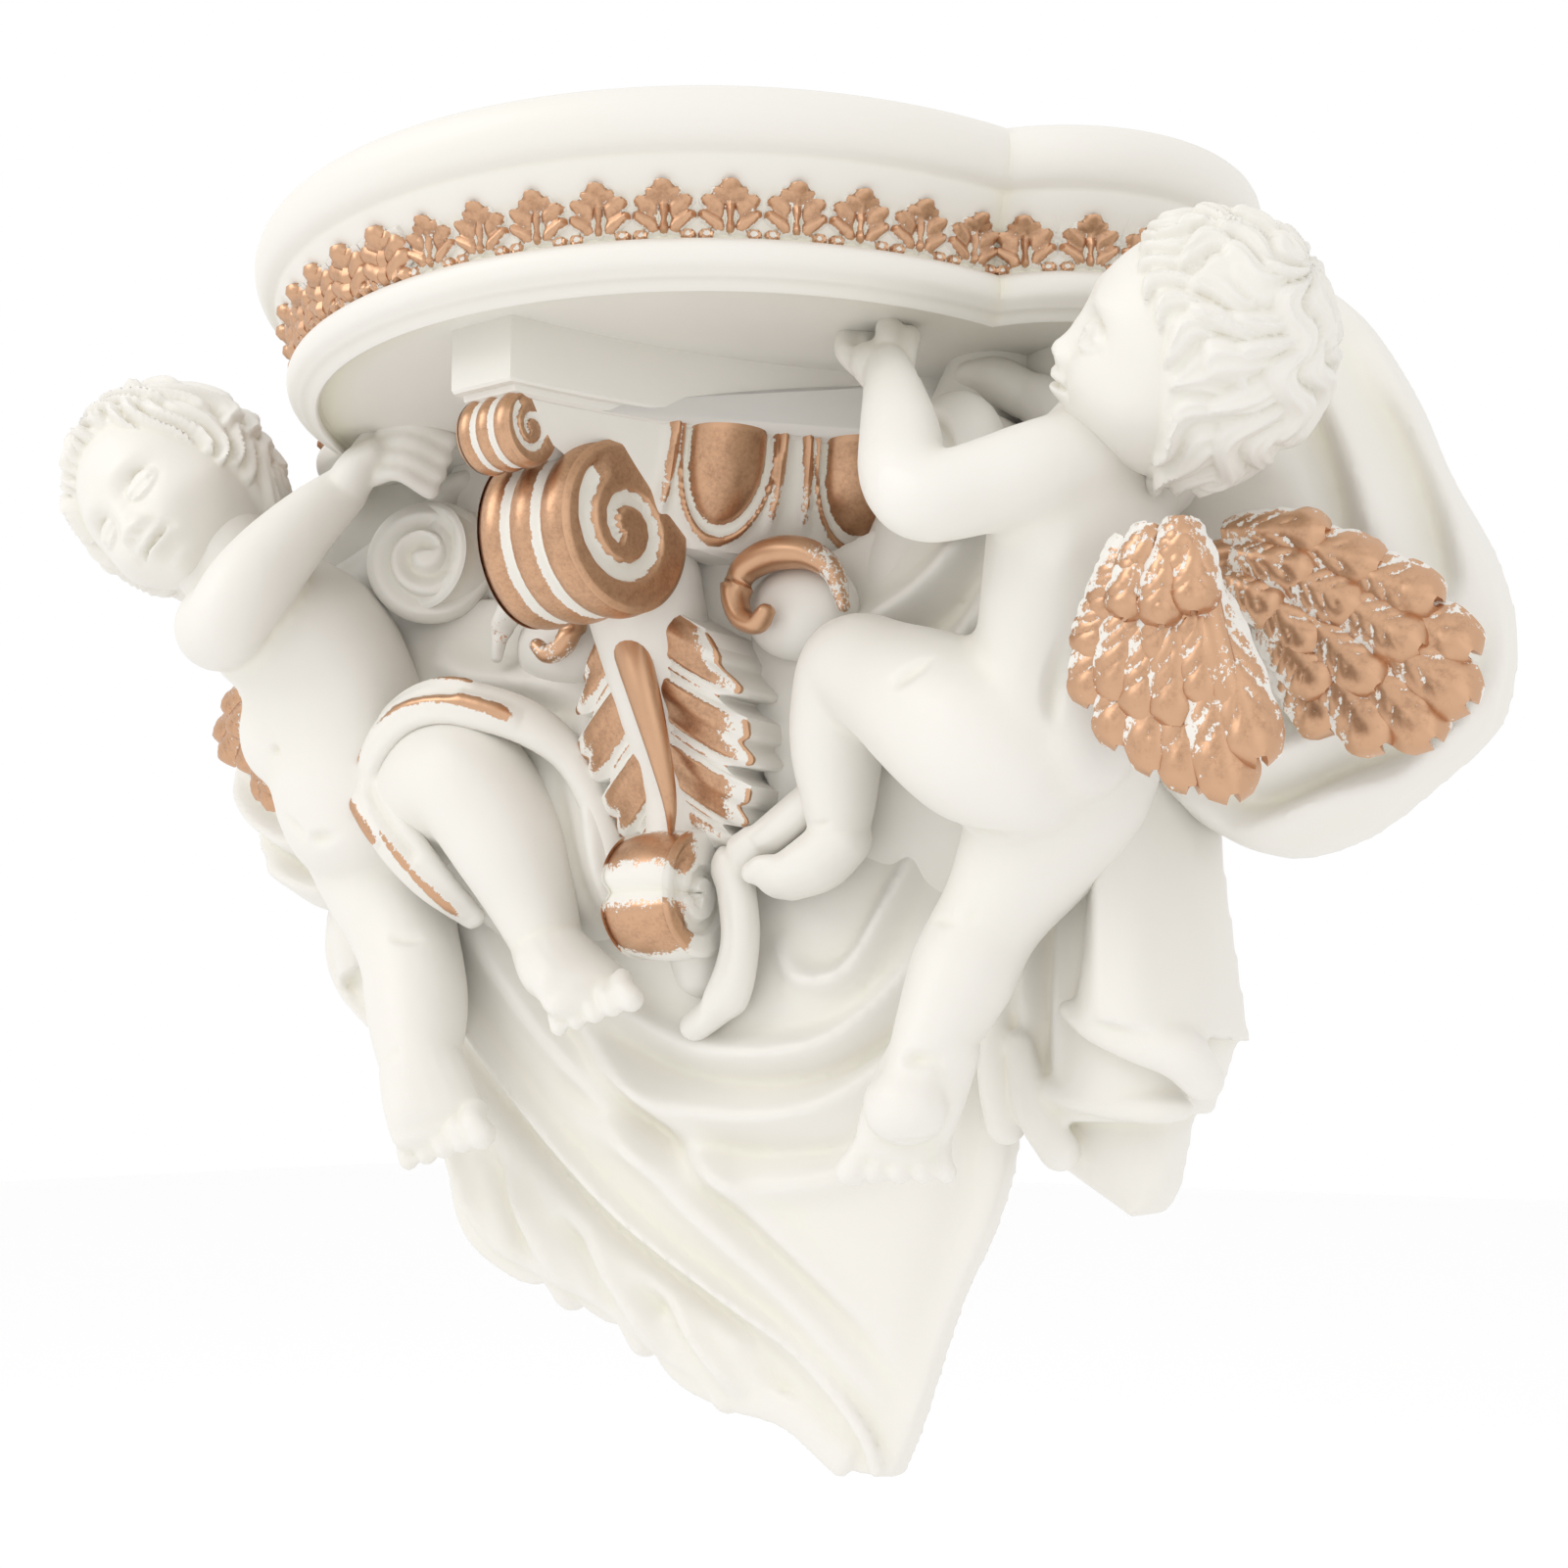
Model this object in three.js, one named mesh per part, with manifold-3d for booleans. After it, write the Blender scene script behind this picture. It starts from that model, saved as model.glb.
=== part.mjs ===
// Angel figure corbel: a wall shelf on a scrolled bracket, with a winged cherub climbing each side and
// drapery falling behind them. One casting, so it is one closed solid.
// Millimetres. X runs along the wall, Y into it, Z up. The origin is on the flat back, at the wall.

import * as THREE from 'three';
import { mergeVertices } from 'three/addons/utils/BufferGeometryUtils.js';
import Module from 'manifold-3d';

// Shelf: plan of one wide bow between two round lobes, cut flat at the wall.
const SHELF_TOP = 73;
const BOW_RADIUS = 147;
const BOW_CENTRE_Y = -25.7;
const LOBE_RADIUS = 64;
const LOBE_CENTRE_X = 114;
const LOBE_CENTRE_Y = -20.6;
const SHELF_THICKNESS = 46;
const RIM_HEIGHT = 18;
const COVE_DEPTH = 15;

// Row of small leaves in the hollow moulding under the rim.
const LEAF_PITCH = 17.2;
const LEAF_WIDTH = 15;
const LEAF_HEIGHT = 15;
const LEAF_RELIEF = 3.2;

// Abacus: hollow-sided block under the shelf, its cut corner pointing forward.
const ABACUS_HEIGHT = 18.5;
const ABACUS_FRONT_Y = -138;
const ABACUS_CORNER = 22;
const ABACUS_WALL_X = 112;
const ABACUS_HOLLOW = 14;

// Front scroll of the bracket, and the small one over it.
const SCROLL_RADIUS = 26;
const SCROLL_CENTRE_Y = -96;
const SCROLL_CENTRE_Z = -25;
const SCROLL_WIDTH_FRONT = 30;
const SCROLL_WIDTH_BACK = 40;
const SCROLL_GROOVE = 2.4;
const TOP_SCROLL_RADIUS = 11;
const TOP_SCROLL_Y = -127;
const TOP_SCROLL_WIDTH = 20;

// Lower scroll, where the bracket turns back under its leaf.
const FOOT_SCROLL_RADIUS = 14;
const FOOT_SCROLL_Y = -50;
const FOOT_SCROLL_Z = -120;
const FOOT_SCROLL_WIDTH = 24;

// Side scrolls that the near hands hold.
const SIDE_SCROLL_RADIUS = 19;
const SIDE_SCROLL_X = 99;
const SIDE_SCROLL_Z = -9;
const SIDE_SCROLL_FRONT_Y = -58;

// Broad leaf on the bracket's stem.
const LEAF_HALF_WIDTH = 31;

// Egg and dart under the hollow sides.
const EGG_WIDTH = 21;
const EGG_HEIGHT = 26;

// Cherubs: each is 250 high from sole to crown, as drawn by the poses below.
const HEAD_DEPTH = 27;
const WING_TUCK = 10;

// Drapery.
const CLOTH_TIP_Z = -300;
const CLOTH_TIP_X = 46;
const PUFF_REACH = 241;
const PUFF_TOP = 44;
const PUFF_BOTTOM = -121;
const PUFF_DEPTH = 38;
const CLOTH_DEPTH = 24;
const CURTAIN_FLARE_LEFT = 14;

const WELD = 1e-4;
const SHELF_BOTTOM = SHELF_TOP - SHELF_THICKNESS;
const ABACUS_BOTTOM = SHELF_BOTTOM - ABACUS_HEIGHT;

const wasm = await Module();
wasm.setup();

const V = (x, y, z) => new THREE.Vector3(x, y, z);
const clamp = THREE.MathUtils.clamp;
const lerp = THREE.MathUtils.lerp;
const smooth = THREE.MathUtils.smoothstep;
const bell = (value, centre, spread) => Math.exp(-(((value - centre) / spread) ** 2));

// A closed mesh becomes a solid, with its faces turned outwards.
function solid(geometry) {
  const bare = new THREE.BufferGeometry();
  bare.setAttribute('position', geometry.getAttribute('position').clone());
  if (geometry.index) bare.setIndex(geometry.index);
  const merged = mergeVertices(bare, WELD);
  const points = merged.getAttribute('position').array;
  const index = merged.index.array;
  const triangles = [];
  let volume = 0;
  for (let i = 0; i < index.length; i += 3) {
    const [a, b, c] = [index[i], index[i + 1], index[i + 2]];
    if (a === b || b === c || c === a) continue;
    triangles.push(a, b, c);
    const [p, q, r] = [a, b, c].map((k) => V(points[3 * k], points[3 * k + 1], points[3 * k + 2]));
    volume += p.dot(q.cross(r));
  }
  if (volume < 0) triangles.reverse();
  return new wasm.Manifold(new wasm.Mesh({
    numProp: 3,
    vertProperties: new Float32Array(points),
    triVerts: new Uint32Array(triangles),
  }));
}

function join(solids) {
  return solids.reduce((sum, next) => sum.add(next));
}

// Skin over a row of rings with equal counts of points, closed by a fan at each end.
function loft(rings) {
  const points = [];
  const index = [];
  const count = rings[0].length;
  rings.forEach((ring) => ring.forEach((p) => points.push(p.x, p.y, p.z)));
  for (let row = 0; row + 1 < rings.length; row += 1) {
    for (let k = 0; k < count; k += 1) {
      const a = row * count + k;
      const b = row * count + ((k + 1) % count);
      index.push(a, b, b + count, a, b + count, a + count);
    }
  }
  for (const row of [0, rings.length - 1]) {
    const middle = V(0, 0, 0);
    rings[row].forEach((p) => middle.addScaledVector(p, 1 / count));
    points.push(middle.x, middle.y, middle.z);
    const hub = points.length / 3 - 1;
    for (let k = 0; k < count; k += 1) {
      const a = row * count + k;
      const b = row * count + ((k + 1) % count);
      if (row === 0) index.push(hub, b, a);
      else index.push(hub, a, b);
    }
  }
  const geometry = new THREE.BufferGeometry();
  geometry.setAttribute('position', new THREE.Float32BufferAttribute(points, 3));
  geometry.setIndex(index);
  return geometry;
}

// A limb runs through joints [x, y, z, half width, half depth] with round ends.
// Widths lie along `across`, depths square to it. Without `round` its ends are blunt.
function limb(joints, { sides = 6, steps = 1, across = V(0, 1, 0), round = true } = {}) {
  const path = new THREE.CatmullRomCurve3(joints.map((j) => V(j[0], j[1], j[2])), false, 'centripetal');
  const sizes = new THREE.CatmullRomCurve3(joints.map((j) => V(j[3], j[4] ?? j[3], 0)), false, 'centripetal');
  const last = joints.length - 1;
  const rings = [];
  const ring = (t, shift, share) => {
    const at = path.getPoint(t);
    const along = path.getTangent(t);
    const size = sizes.getPoint(t);
    const wide = across.clone().addScaledVector(along, -across.dot(along)).normalize();
    const deep = along.clone().cross(wide);
    at.addScaledVector(along, shift * Math.min(size.x, size.y));
    rings.push(Array.from({ length: sides }, (_, k) => {
      const turn = (2 * Math.PI * k) / sides;
      return at.clone()
        .addScaledVector(wide, size.x * share * Math.cos(turn))
        .addScaledVector(deep, size.y * share * Math.sin(turn));
    }));
  };
  if (round) ring(0, -0.8, 0.55);
  for (let k = 0; k <= last * steps; k += 1) ring(k / (last * steps), 0, 1);
  if (round) ring(1, 0.8, 0.55);
  return solid(loft(rings));
}

// An axis frame with its Z along `up` and its -Y as near `front` as it can be.
function frame(up, front) {
  const z = up.clone().normalize();
  const y = front.clone().negate().addScaledVector(z, front.dot(z)).normalize();
  return new THREE.Matrix4().makeBasis(y.clone().cross(z), y, z);
}

function ellipsoid(at, radii, turn = new THREE.Matrix4(), round = 10, high = 7) {
  const ball = new THREE.SphereGeometry(1, round, high);
  ball.scale(radii.x, radii.y, radii.z);
  ball.applyMatrix4(turn);
  ball.translate(at.x, at.y, at.z);
  return solid(ball);
}

// The shelf's plan, drawn in from its rim by `inset`, from the right end of the wall round to the left.
function shelfPlan(inset) {
  const bow = BOW_RADIUS - inset;
  const lobe = LOBE_RADIUS - inset;
  const apart = Math.hypot(LOBE_CENTRE_X, LOBE_CENTRE_Y - BOW_CENTRE_Y);
  const lean = Math.atan2(LOBE_CENTRE_Y - BOW_CENTRE_Y, LOBE_CENTRE_X);
  const open = Math.acos((bow ** 2 + apart ** 2 - lobe ** 2) / (2 * bow * apart));
  const notch = lean - open;
  const onBow = (angle) => V(bow * Math.cos(angle), BOW_CENTRE_Y + bow * Math.sin(angle), 0);
  const meet = onBow(notch);
  const lobeStart = Math.asin(clamp((2 - LOBE_CENTRE_Y) / lobe, -1, 1));
  const lobeEnd = Math.atan2(meet.y - LOBE_CENTRE_Y, meet.x - LOBE_CENTRE_X);
  const right = [];
  const lobeSteps = 5;
  for (let k = 0; k < lobeSteps; k += 1) {
    const angle = lerp(lobeStart, lobeEnd, k / lobeSteps);
    right.push(V(LOBE_CENTRE_X + lobe * Math.cos(angle), LOBE_CENTRE_Y + lobe * Math.sin(angle), 0));
  }
  const bowSteps = 9;
  for (let k = 0; k < bowSteps; k += 1) right.push(onBow(lerp(notch, -Math.PI / 2, k / bowSteps)));
  const left = right.map((p) => V(-p.x, p.y, 0)).reverse();
  return [...right, onBow(-Math.PI / 2), ...left];
}

// Mouldings from the top down: [inset, share of the shelf's thickness], the rim's round first.
function shelf() {
  const rim = RIM_HEIGHT / SHELF_THICKNESS;
  const profile = [
    [8, 0],
    [2.5, 0.04],
    [0, 0.45 * rim],
    [4, 0.95 * rim],
    [8, rim + 0.1],
    [COVE_DEPTH, rim + 0.2],
    [COVE_DEPTH, rim + 0.38],
    [12, rim + 0.46],
    [13, rim + 0.6],
    [19, rim + 0.7],
    [21, 1],
  ];
  const rings = profile.map(([inset, down]) => shelfPlan(inset).map((p) => (
    p.clone().setZ(SHELF_TOP - down * SHELF_THICKNESS))));
  return solid(loft(rings));
}

// One small leaf: a lobed blade, drawn in towards its crowned face.
function bandLeaf() {
  const half = LEAF_WIDTH / 2;
  const side = [
    [0.5, -0.5],
    [1, -0.1],
    [0.6, 0.5],
  ];
  const outline = [...side, ...side.map(([x, z]) => [-x, z]).reverse()];
  const ring = (share, y) => outline.map(([x, z]) => V(share * x * half, y, share * z * LEAF_HEIGHT));
  return solid(loft([ring(1, 2), ring(0.7, -LEAF_RELIEF)]));
}

function leafBand() {
  const plan = shelfPlan(COVE_DEPTH);
  const z = SHELF_TOP - RIM_HEIGHT - 0.3 * SHELF_THICKNESS;
  const leaf = bandLeaf();
  const middle = (plan.length - 1) / 2;
  const leaves = [];
  for (const side of [1, -1]) {
    let next = side === 1 ? 0 : LEAF_PITCH;
    let gone = 0;
    for (let k = 0; k < middle; k += 1) {
      const a = plan[middle + side * k];
      const b = plan[middle + side * (k + 1)];
      const length = a.distanceTo(b);
      const heading = THREE.MathUtils.radToDeg(Math.atan2(side * (a.y - b.y), side * (a.x - b.x)));
      for (; next <= gone + length; next += LEAF_PITCH) {
        const at = a.clone().lerp(b, (next - gone) / length);
        if (at.y < -LEAF_WIDTH / 2) leaves.push(leaf.rotate([0, 0, heading]).translate([at.x, at.y, z]));
      }
      gone += length;
    }
  }
  return join(leaves);
}

// Plan of the abacus and of the capital's body under it, `inset` from the abacus' edge.
function abacusPlan(inset, steps = 6) {
  const half = ABACUS_CORNER / 2 - 0.4 * inset;
  const start = V(half, ABACUS_FRONT_Y + inset, 0);
  const end = V(ABACUS_WALL_X - inset, 2, 0);
  const away = end.clone().sub(start);
  const inward = V(-away.y, away.x, 0).normalize();
  const right = [];
  for (let k = 0; k <= steps; k += 1) {
    const t = k / steps;
    const bow = 4 * ABACUS_HOLLOW * t * (1 - t);
    right.push(start.clone().addScaledVector(away, t).addScaledVector(inward, bow));
  }
  return [...right.slice().reverse(), ...right.map((p) => V(-p.x, p.y, 0))];
}

function abacus() {
  return solid(loft([SHELF_BOTTOM + 1, ABACUS_BOTTOM].map((z) => abacusPlan(0).map((p) => p.clone().setZ(z)))));
}

// The bell of the capital, drawing in below the abacus to the bracket's stem.
function capital() {
  const levels = [
    [4, 1, 1],
    [6, 0.94, -7],
    [8, 0.8, -18],
    [9, 0.64, -36],
    [10, 0.54, -70],
    [10, 0.36, -150],
  ];
  return solid(loft(levels.map(([inset, share, down]) => abacusPlan(inset, 5).map((p) => (
    V(p.x * share, p.y * share * lerp(1, 0.8, smooth(-down, 10, 90)), ABACUS_BOTTOM + down))))));
}

// A drum across X with ridges round it and a spiral sunk in both ends.
function scroll({ radius, front, back, turns, groove, ridges = 3, segments = 14, ends = [1, -1] }) {
  const profile = [new THREE.Vector2(0, -0.5)];
  for (let k = 0; k <= 2 * ridges; k += 1) {
    const sunk = k % 2 === 0 ? groove : 0;
    const edge = k === 0 || k === 2 * ridges ? 0.6 * groove : sunk;
    profile.push(new THREE.Vector2(radius - edge, k / (2 * ridges) - 0.5));
  }
  profile.push(new THREE.Vector2(0, 0.5));
  const drum = new THREE.LatheGeometry(profile, segments);
  drum.rotateZ(-Math.PI / 2);
  const points = drum.getAttribute('position');
  for (let k = 0; k < points.count; k += 1) {
    const reach = clamp(0.5 + points.getY(k) / (2 * radius), 0, 1);
    points.setX(k, points.getX(k) * lerp(front, back, reach));
  }
  const body = solid(drum);
  const cuts = [];
  for (const side of ends) {
    const path = [];
    const steps = Math.round(5.5 * turns);
    for (let k = 0; k <= steps; k += 1) {
      const t = k / steps;
      const angle = Math.PI * 0.55 - 2 * Math.PI * turns * t;
      const r = radius * lerp(0.74, 0.16, t ** 0.8);
      const y = r * Math.cos(angle);
      const width = lerp(front, back, 0.5 + y / (2 * radius)) / 2;
      path.push([side * width, y, r * Math.sin(angle), 1.3 * groove, lerp(0.14, 0.08, t) * radius]);
    }
    cuts.push(limb(path, { sides: 3, across: V(-side, 0, 0), round: false }));
  }
  return cuts.reduce((left, cut) => left.subtract(cut), body);
}

function frontScrolls() {
  const large = scroll({
    radius: SCROLL_RADIUS,
    front: SCROLL_WIDTH_FRONT,
    back: SCROLL_WIDTH_BACK,
    turns: 1.5,
    groove: SCROLL_GROOVE,
  }).translate([0, SCROLL_CENTRE_Y, SCROLL_CENTRE_Z]);
  const topZ = ABACUS_BOTTOM - TOP_SCROLL_RADIUS + 0.5;
  const small = scroll({
    radius: TOP_SCROLL_RADIUS,
    front: TOP_SCROLL_WIDTH,
    back: TOP_SCROLL_WIDTH,
    turns: 0.9,
    groove: 0.6 * SCROLL_GROOVE,
    segments: 8,
    ends: [1],
  }).translate([0, TOP_SCROLL_Y, topZ]);
  const foot = scroll({
    radius: FOOT_SCROLL_RADIUS,
    front: FOOT_SCROLL_WIDTH,
    back: FOOT_SCROLL_WIDTH,
    turns: 0.9,
    groove: 0.6 * SCROLL_GROOVE,
    ridges: 1,
    segments: 10,
    ends: [1],
  }).translate([0, FOOT_SCROLL_Y, FOOT_SCROLL_Z]);
  const strap = limb([
    [0, TOP_SCROLL_Y + 4, topZ + 4, TOP_SCROLL_WIDTH / 2, 6],
    [0, -100, ABACUS_BOTTOM - 6, SCROLL_WIDTH_FRONT / 2, 8],
    [0, -60, ABACUS_BOTTOM - 22, SCROLL_WIDTH_BACK / 2, 14],
  ], { across: V(1, 0, 0) });
  return join([large, small, foot, strap, bracketStem()]);
}

// The stem that the leaf lies on, from the front scroll down to the foot scroll.
function bracketStem() {
  const footLow = FOOT_SCROLL_Z - FOOT_SCROLL_RADIUS;
  return limb([
    [0, -66, SCROLL_CENTRE_Z - 8, 18, 20],
    [0, -52, -66, 15, 18],
    [0, -42, -95, 13, 14],
    [0, FOOT_SCROLL_Y + 6, FOOT_SCROLL_Z, FOOT_SCROLL_WIDTH / 2 - 2, 12],
    [0, -32, footLow - 14, 10, 10],
  ], { across: V(1, 0, 0) });
}

function sideScrolls() {
  const pieces = [];
  for (const side of [1, -1]) {
    const drum = scroll({
      radius: SIDE_SCROLL_RADIUS,
      front: 2 * Math.abs(SIDE_SCROLL_FRONT_Y),
      back: 2 * Math.abs(SIDE_SCROLL_FRONT_Y),
      turns: 1.2,
      groove: 2,
      ridges: 1,
      segments: 10,
      ends: [-side],
    }).rotate([0, 0, side * 90]);
    pieces.push(drum.translate([side * SIDE_SCROLL_X, 0, SIDE_SCROLL_Z]));
    pieces.push(limb([
      [side * (SIDE_SCROLL_X + 4), -30, SHELF_BOTTOM - 2, 24, 15],
      [side * (SIDE_SCROLL_X - 6), -28, SIDE_SCROLL_Z + 12, 22, 18],
      [side * (SIDE_SCROLL_X - 28), -24, SIDE_SCROLL_Z - 24, 20, 20],
      [side * (SIDE_SCROLL_X - 45), -20, SIDE_SCROLL_Z - 60, 18, 20],
    ]));
  }
  return join(pieces);
}

// Eggs with a dart of three ribs between them, set along the hollow side.
function eggAndDart() {
  const pieces = [];
  const plan = abacusPlan(5, 24);
  for (const side of [1, -1]) {
    const place = (share) => {
      const p = plan[24 - Math.round(share * 24)];
      return V(side * p.x, p.y, ABACUS_BOTTOM);
    };
    for (const share of [0.4, 0.7]) {
      const at = place(share).add(V(0, 1, -0.36 * EGG_HEIGHT));
      const turn = frame(V(side * 0.1, 0.12, 1), V(side * 0.8, -0.6, 0));
      pieces.push(ellipsoid(at, V(EGG_WIDTH / 2, 8, 0.6 * EGG_HEIGHT), turn, 7, 5));
    }
    for (const share of [0.26, 0.53, 0.58]) {
      const at = place(share);
      pieces.push(limb([
        [at.x, at.y + 1, ABACUS_BOTTOM + 1, 2.4],
        [at.x * 0.92, at.y * 0.96, ABACUS_BOTTOM - 0.9 * EGG_HEIGHT, 1.8],
      ], { sides: 4, round: false }));
    }
  }
  return join(pieces);
}

// The broad leaf on the stem, lobed at its edges, with a raised midrib.
function acanthus() {
  const path = new THREE.CatmullRomCurve3([
    V(0, -72, -44),
    V(0, -69, -62),
    V(0, -61, -80),
    V(0, -52, -98),
  ]);
  const rows = 12;
  const columns = 8;
  const rings = [];
  for (let row = 0; row <= rows; row += 1) {
    const t = row / rows;
    const at = path.getPoint(t);
    const lobe = 0.72 + 0.28 * Math.abs(Math.sin(Math.PI * 2.5 * t + 0.5));
    const half = LEAF_HALF_WIDTH * lobe * (0.8 + 0.5 * t) * (1 - 0.85 * t ** 3);
    const front = [];
    for (let k = 0; k <= columns; k += 1) {
      const across = (2 * k) / columns - 1;
      const rib = 4 * bell(across, 0, 0.16) + 1.4 * Math.cos(4 * Math.PI * across);
      front.push(V(across * half, at.y - rib + 0.42 * half * across ** 2, at.z));
    }
    rings.push([...front, V(0.8 * half, at.y + 26, at.z), V(-0.8 * half, at.y + 26, at.z)]);
  }
  return solid(loft(rings));
}

// The curls that spring from the leaf, one each side.
function sideCurls() {
  const pieces = [];
  for (const side of [1, -1]) {
    const curl = [];
    for (let k = 0; k <= 9; k += 1) {
      const t = k / 9;
      const angle = -0.35 + 4.4 * t;
      const r = lerp(17, 4, t);
      curl.push([side * (30 + r * Math.cos(angle)), -36 - 5 * t, -36 + r * Math.sin(angle), lerp(6, 3, t)]);
    }
    pieces.push(limb(curl, { sides: 4 }));
  }
  return join(pieces);
}

// Poses, for the right-hand cherub; the left-hand one is mirrored. X points away from the middle.
const SHARED_POSE = {
  torso: [
    [127, -50, -109, 18, 16],
    [131, -53, -97, 30, 25],
    [134, -57, -84, 29, 24],
    [139, -62, -68, 25, 20],
    [145, -68, -50, 29, 21],
    [151, -72, -36, 31, 20],
    [158, -75, -22, 25, 16],
    [165, -79, -12, 12, 11],
  ],
  nearArm: [
    [156, -92, -28, 13],
    [142, -106, -36, 12],
    [129, -117, -39, 11],
    [119, -108, -20, 11],
    [102, -86, 4, 8.5],
    [97, -80, 12, 7],
  ],
  nearHand: [
    [97, -80, 12, 8, 6],
    [91, -73, 20, 10, 6],
    [87, -68, 25, 8, 4],
  ],
  farArm: [
    [162, -50, -22, 13],
    [140, -34, -4, 11],
    [118, -32, 12, 8],
  ],
  farHand: [
    [116, -32, 13, 8, 7],
    [106, -34, 19, 9, 7],
  ],
  straightLeg: [
    [134, -44, -94, 23],
    [124, -44, -112, 21],
    [108, -47, -137, 14.5],
    [103, -54, -152, 14.5],
    [97, -65, -176, 10],
  ],
  straightFoot: [
    [98, -63, -178, 10.5, 11],
    [93, -61, -190, 13, 9],
    [87, -59, -200, 13, 6],
  ],
};
const RIGHT_POSE = {
  ...SHARED_POSE,
  side: 1,
  hairDepth: 5,
  headAt: [190, -88, 2],
  headUp: [0.6, -0.38, 0.7],
  headFace: [-0.78, -0.58, 0.26],
  bentLeg: [
    [124, -68, -94, 24],
    [98, -67, -78, 20],
    [72, -62, -65, 15],
    [64, -54, -85, 13],
    [58, -45, -110, 9.5],
  ],
  bentFoot: [
    [59, -45, -113, 9.5, 9],
    [48, -45, -120, 11, 8],
    [38, -46, -123, 10, 6],
  ],
  wings: [
    { root: [168, -78, -46], wrist: [197, -90, -80], first: [206, -92, -114], last: [162, -90, -88], flights: 5 },
    { root: [168, -54, -50], wrist: [224, -42, -52], first: [249, -40, -84], last: [188, -42, -96], flights: 6 },
  ],
};
const LEFT_POSE = {
  ...SHARED_POSE,
  side: -1,
  hairDepth: 8.5,
  headAt: [190, -90, 24],
  headUp: [0.66, -0.42, 0.62],
  headFace: [-0.16, -0.93, -0.3],
  bentLeg: [
    [120, -44, -92, 23],
    [92, -54, -86, 20],
    [66, -62, -84, 16],
    [57, -58, -104, 15],
    [48, -50, -138, 10],
  ],
  bentFoot: [
    [48, -50, -142, 10.5, 10],
    [42, -54, -152, 13, 8],
    [34, -56, -160, 12, 6],
  ],
  wings: [
    { root: [166, -58, -42], wrist: [178, -50, -62], first: [174, -42, -88], last: [160, -44, -80], flights: 3 },
    { root: [168, -50, -38], wrist: [206, -42, -40], first: [216, -40, -60], last: [190, -42, -72], flights: 4 },
  ],
};

// A skull with a hollowed brow, nose, cheeks and chin, under a cap of hair in combed locks.
function head(pose) {
  const ball = new THREE.SphereGeometry(1, 15, 11);
  ball.rotateX(Math.PI / 2);
  const points = ball.getAttribute('position');
  for (let k = 0; k < points.count; k += 1) {
    const n = V(points.getX(k), points.getY(k), points.getZ(k));
    const face = -n.y;
    const side = Math.abs(n.x);
    let r = HEAD_DEPTH * (1 - 0.12 * side ** 2 + 0.08 * n.z * (n.z > 0 ? 1 : 0.4));
    const hair = 1 - smooth(face, 0.1, 0.45) * (1 - smooth(n.z, 0.25, 0.6));
    const around = Math.atan2(n.x, n.y);
    const lock = 0.5 + 0.5 * Math.sin(9 * around + 3 * n.z);
    r += hair * pose.hairDepth * (0.7 + 0.6 * lock * (1 - n.z ** 4));
    const shown = (1 - hair) * smooth(face, 0.4, 0.8);
    r += shown * 6 * bell(n.x, 0, 0.14) * bell(n.z, -0.16, 0.14);
    r -= shown * 2.2 * bell(side, 0.36, 0.18) * bell(n.z, 0.02, 0.13);
    r += shown * 1.6 * bell(n.x, 0, 0.22) * bell(n.z, -0.46, 0.1);
    r += shown * 2.4 * bell(n.x, 0, 0.26) * bell(n.z, -0.74, 0.14);
    r += (1 - hair) * 2.5 * bell(side, 0.42, 0.2) * bell(n.z, -0.4, 0.2);
    points.setXYZ(k, n.x * r, n.y * r, n.z * r);
  }
  ball.applyMatrix4(frame(V(...pose.headUp), V(...pose.headFace)));
  const [x, y, z] = pose.headAt;
  return solid(ball.translate(x, y, z));
}

// Toes or fingers: stubs in a row from `at`, each reaching `reach`.
function digits(at, row, reach, radius, count) {
  const pieces = [];
  for (let k = 0; k < count; k += 1) {
    const share = k / (count - 1) - 0.5;
    const end = at.clone().addScaledVector(row, share).addScaledVector(reach, 1 - 0.5 * Math.abs(share + 0.2));
    const turn = frame(reach, row.clone().cross(reach));
    pieces.push(ellipsoid(end, V(radius, radius, 0.75 * reach.length()), turn, 4, 3));
  }
  return join(pieces);
}

// A wing in one sheet: its arm from root to wrist, coverts under it, then flight feathers that overlap
// like shingles, with their tips on the line from `first` to `last`.
function wing({ root, wrist, first, last, flights }) {
  const [from, bend, outer, inner] = [root, wrist, first, last].map((p) => V(...p));
  from.addScaledVector(bend.clone().sub(from).normalize(), -WING_TUCK);
  const front = outer.clone().sub(bend).cross(from.clone().sub(bend)).normalize();
  if (front.y > 0) front.negate();
  const rows = [
    { down: 0, edge: 0, proud: 2, step: 0 },
    { down: 0.1, edge: 0.1, proud: 9, step: 0 },
    { down: 0.24, edge: 0.24, proud: 6, step: 1 },
    { down: 0.58, edge: 0.5, proud: 7, step: 3 },
    { down: 0.6, edge: 0.52, proud: 4, step: 3 },
    { down: 1, edge: 0.9, proud: 1.5, step: 2 },
  ];
  const rings = rows.map(({ down, edge, proud, step }) => {
    const at = (share, reach, height) => {
      const arm = bend.clone().lerp(from, share);
      const tip = outer.clone().lerp(inner, share);
      return arm.lerp(tip, reach).addScaledVector(front, height + 5 * Math.sin(Math.PI * share));
    };
    const ring = [];
    for (let k = 0; k < flights; k += 1) {
      ring.push(at((k + 0.05) / flights, edge, proud + step));
      ring.push(at((k + 0.5) / flights, down, proud + 0.6 * step));
      ring.push(at((k + 0.95) / flights, edge, proud - 0.4 * step));
    }
    return [...ring, at(1, edge, -4), at(0, edge, -4)];
  });
  return solid(loft(rings));
}

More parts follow.
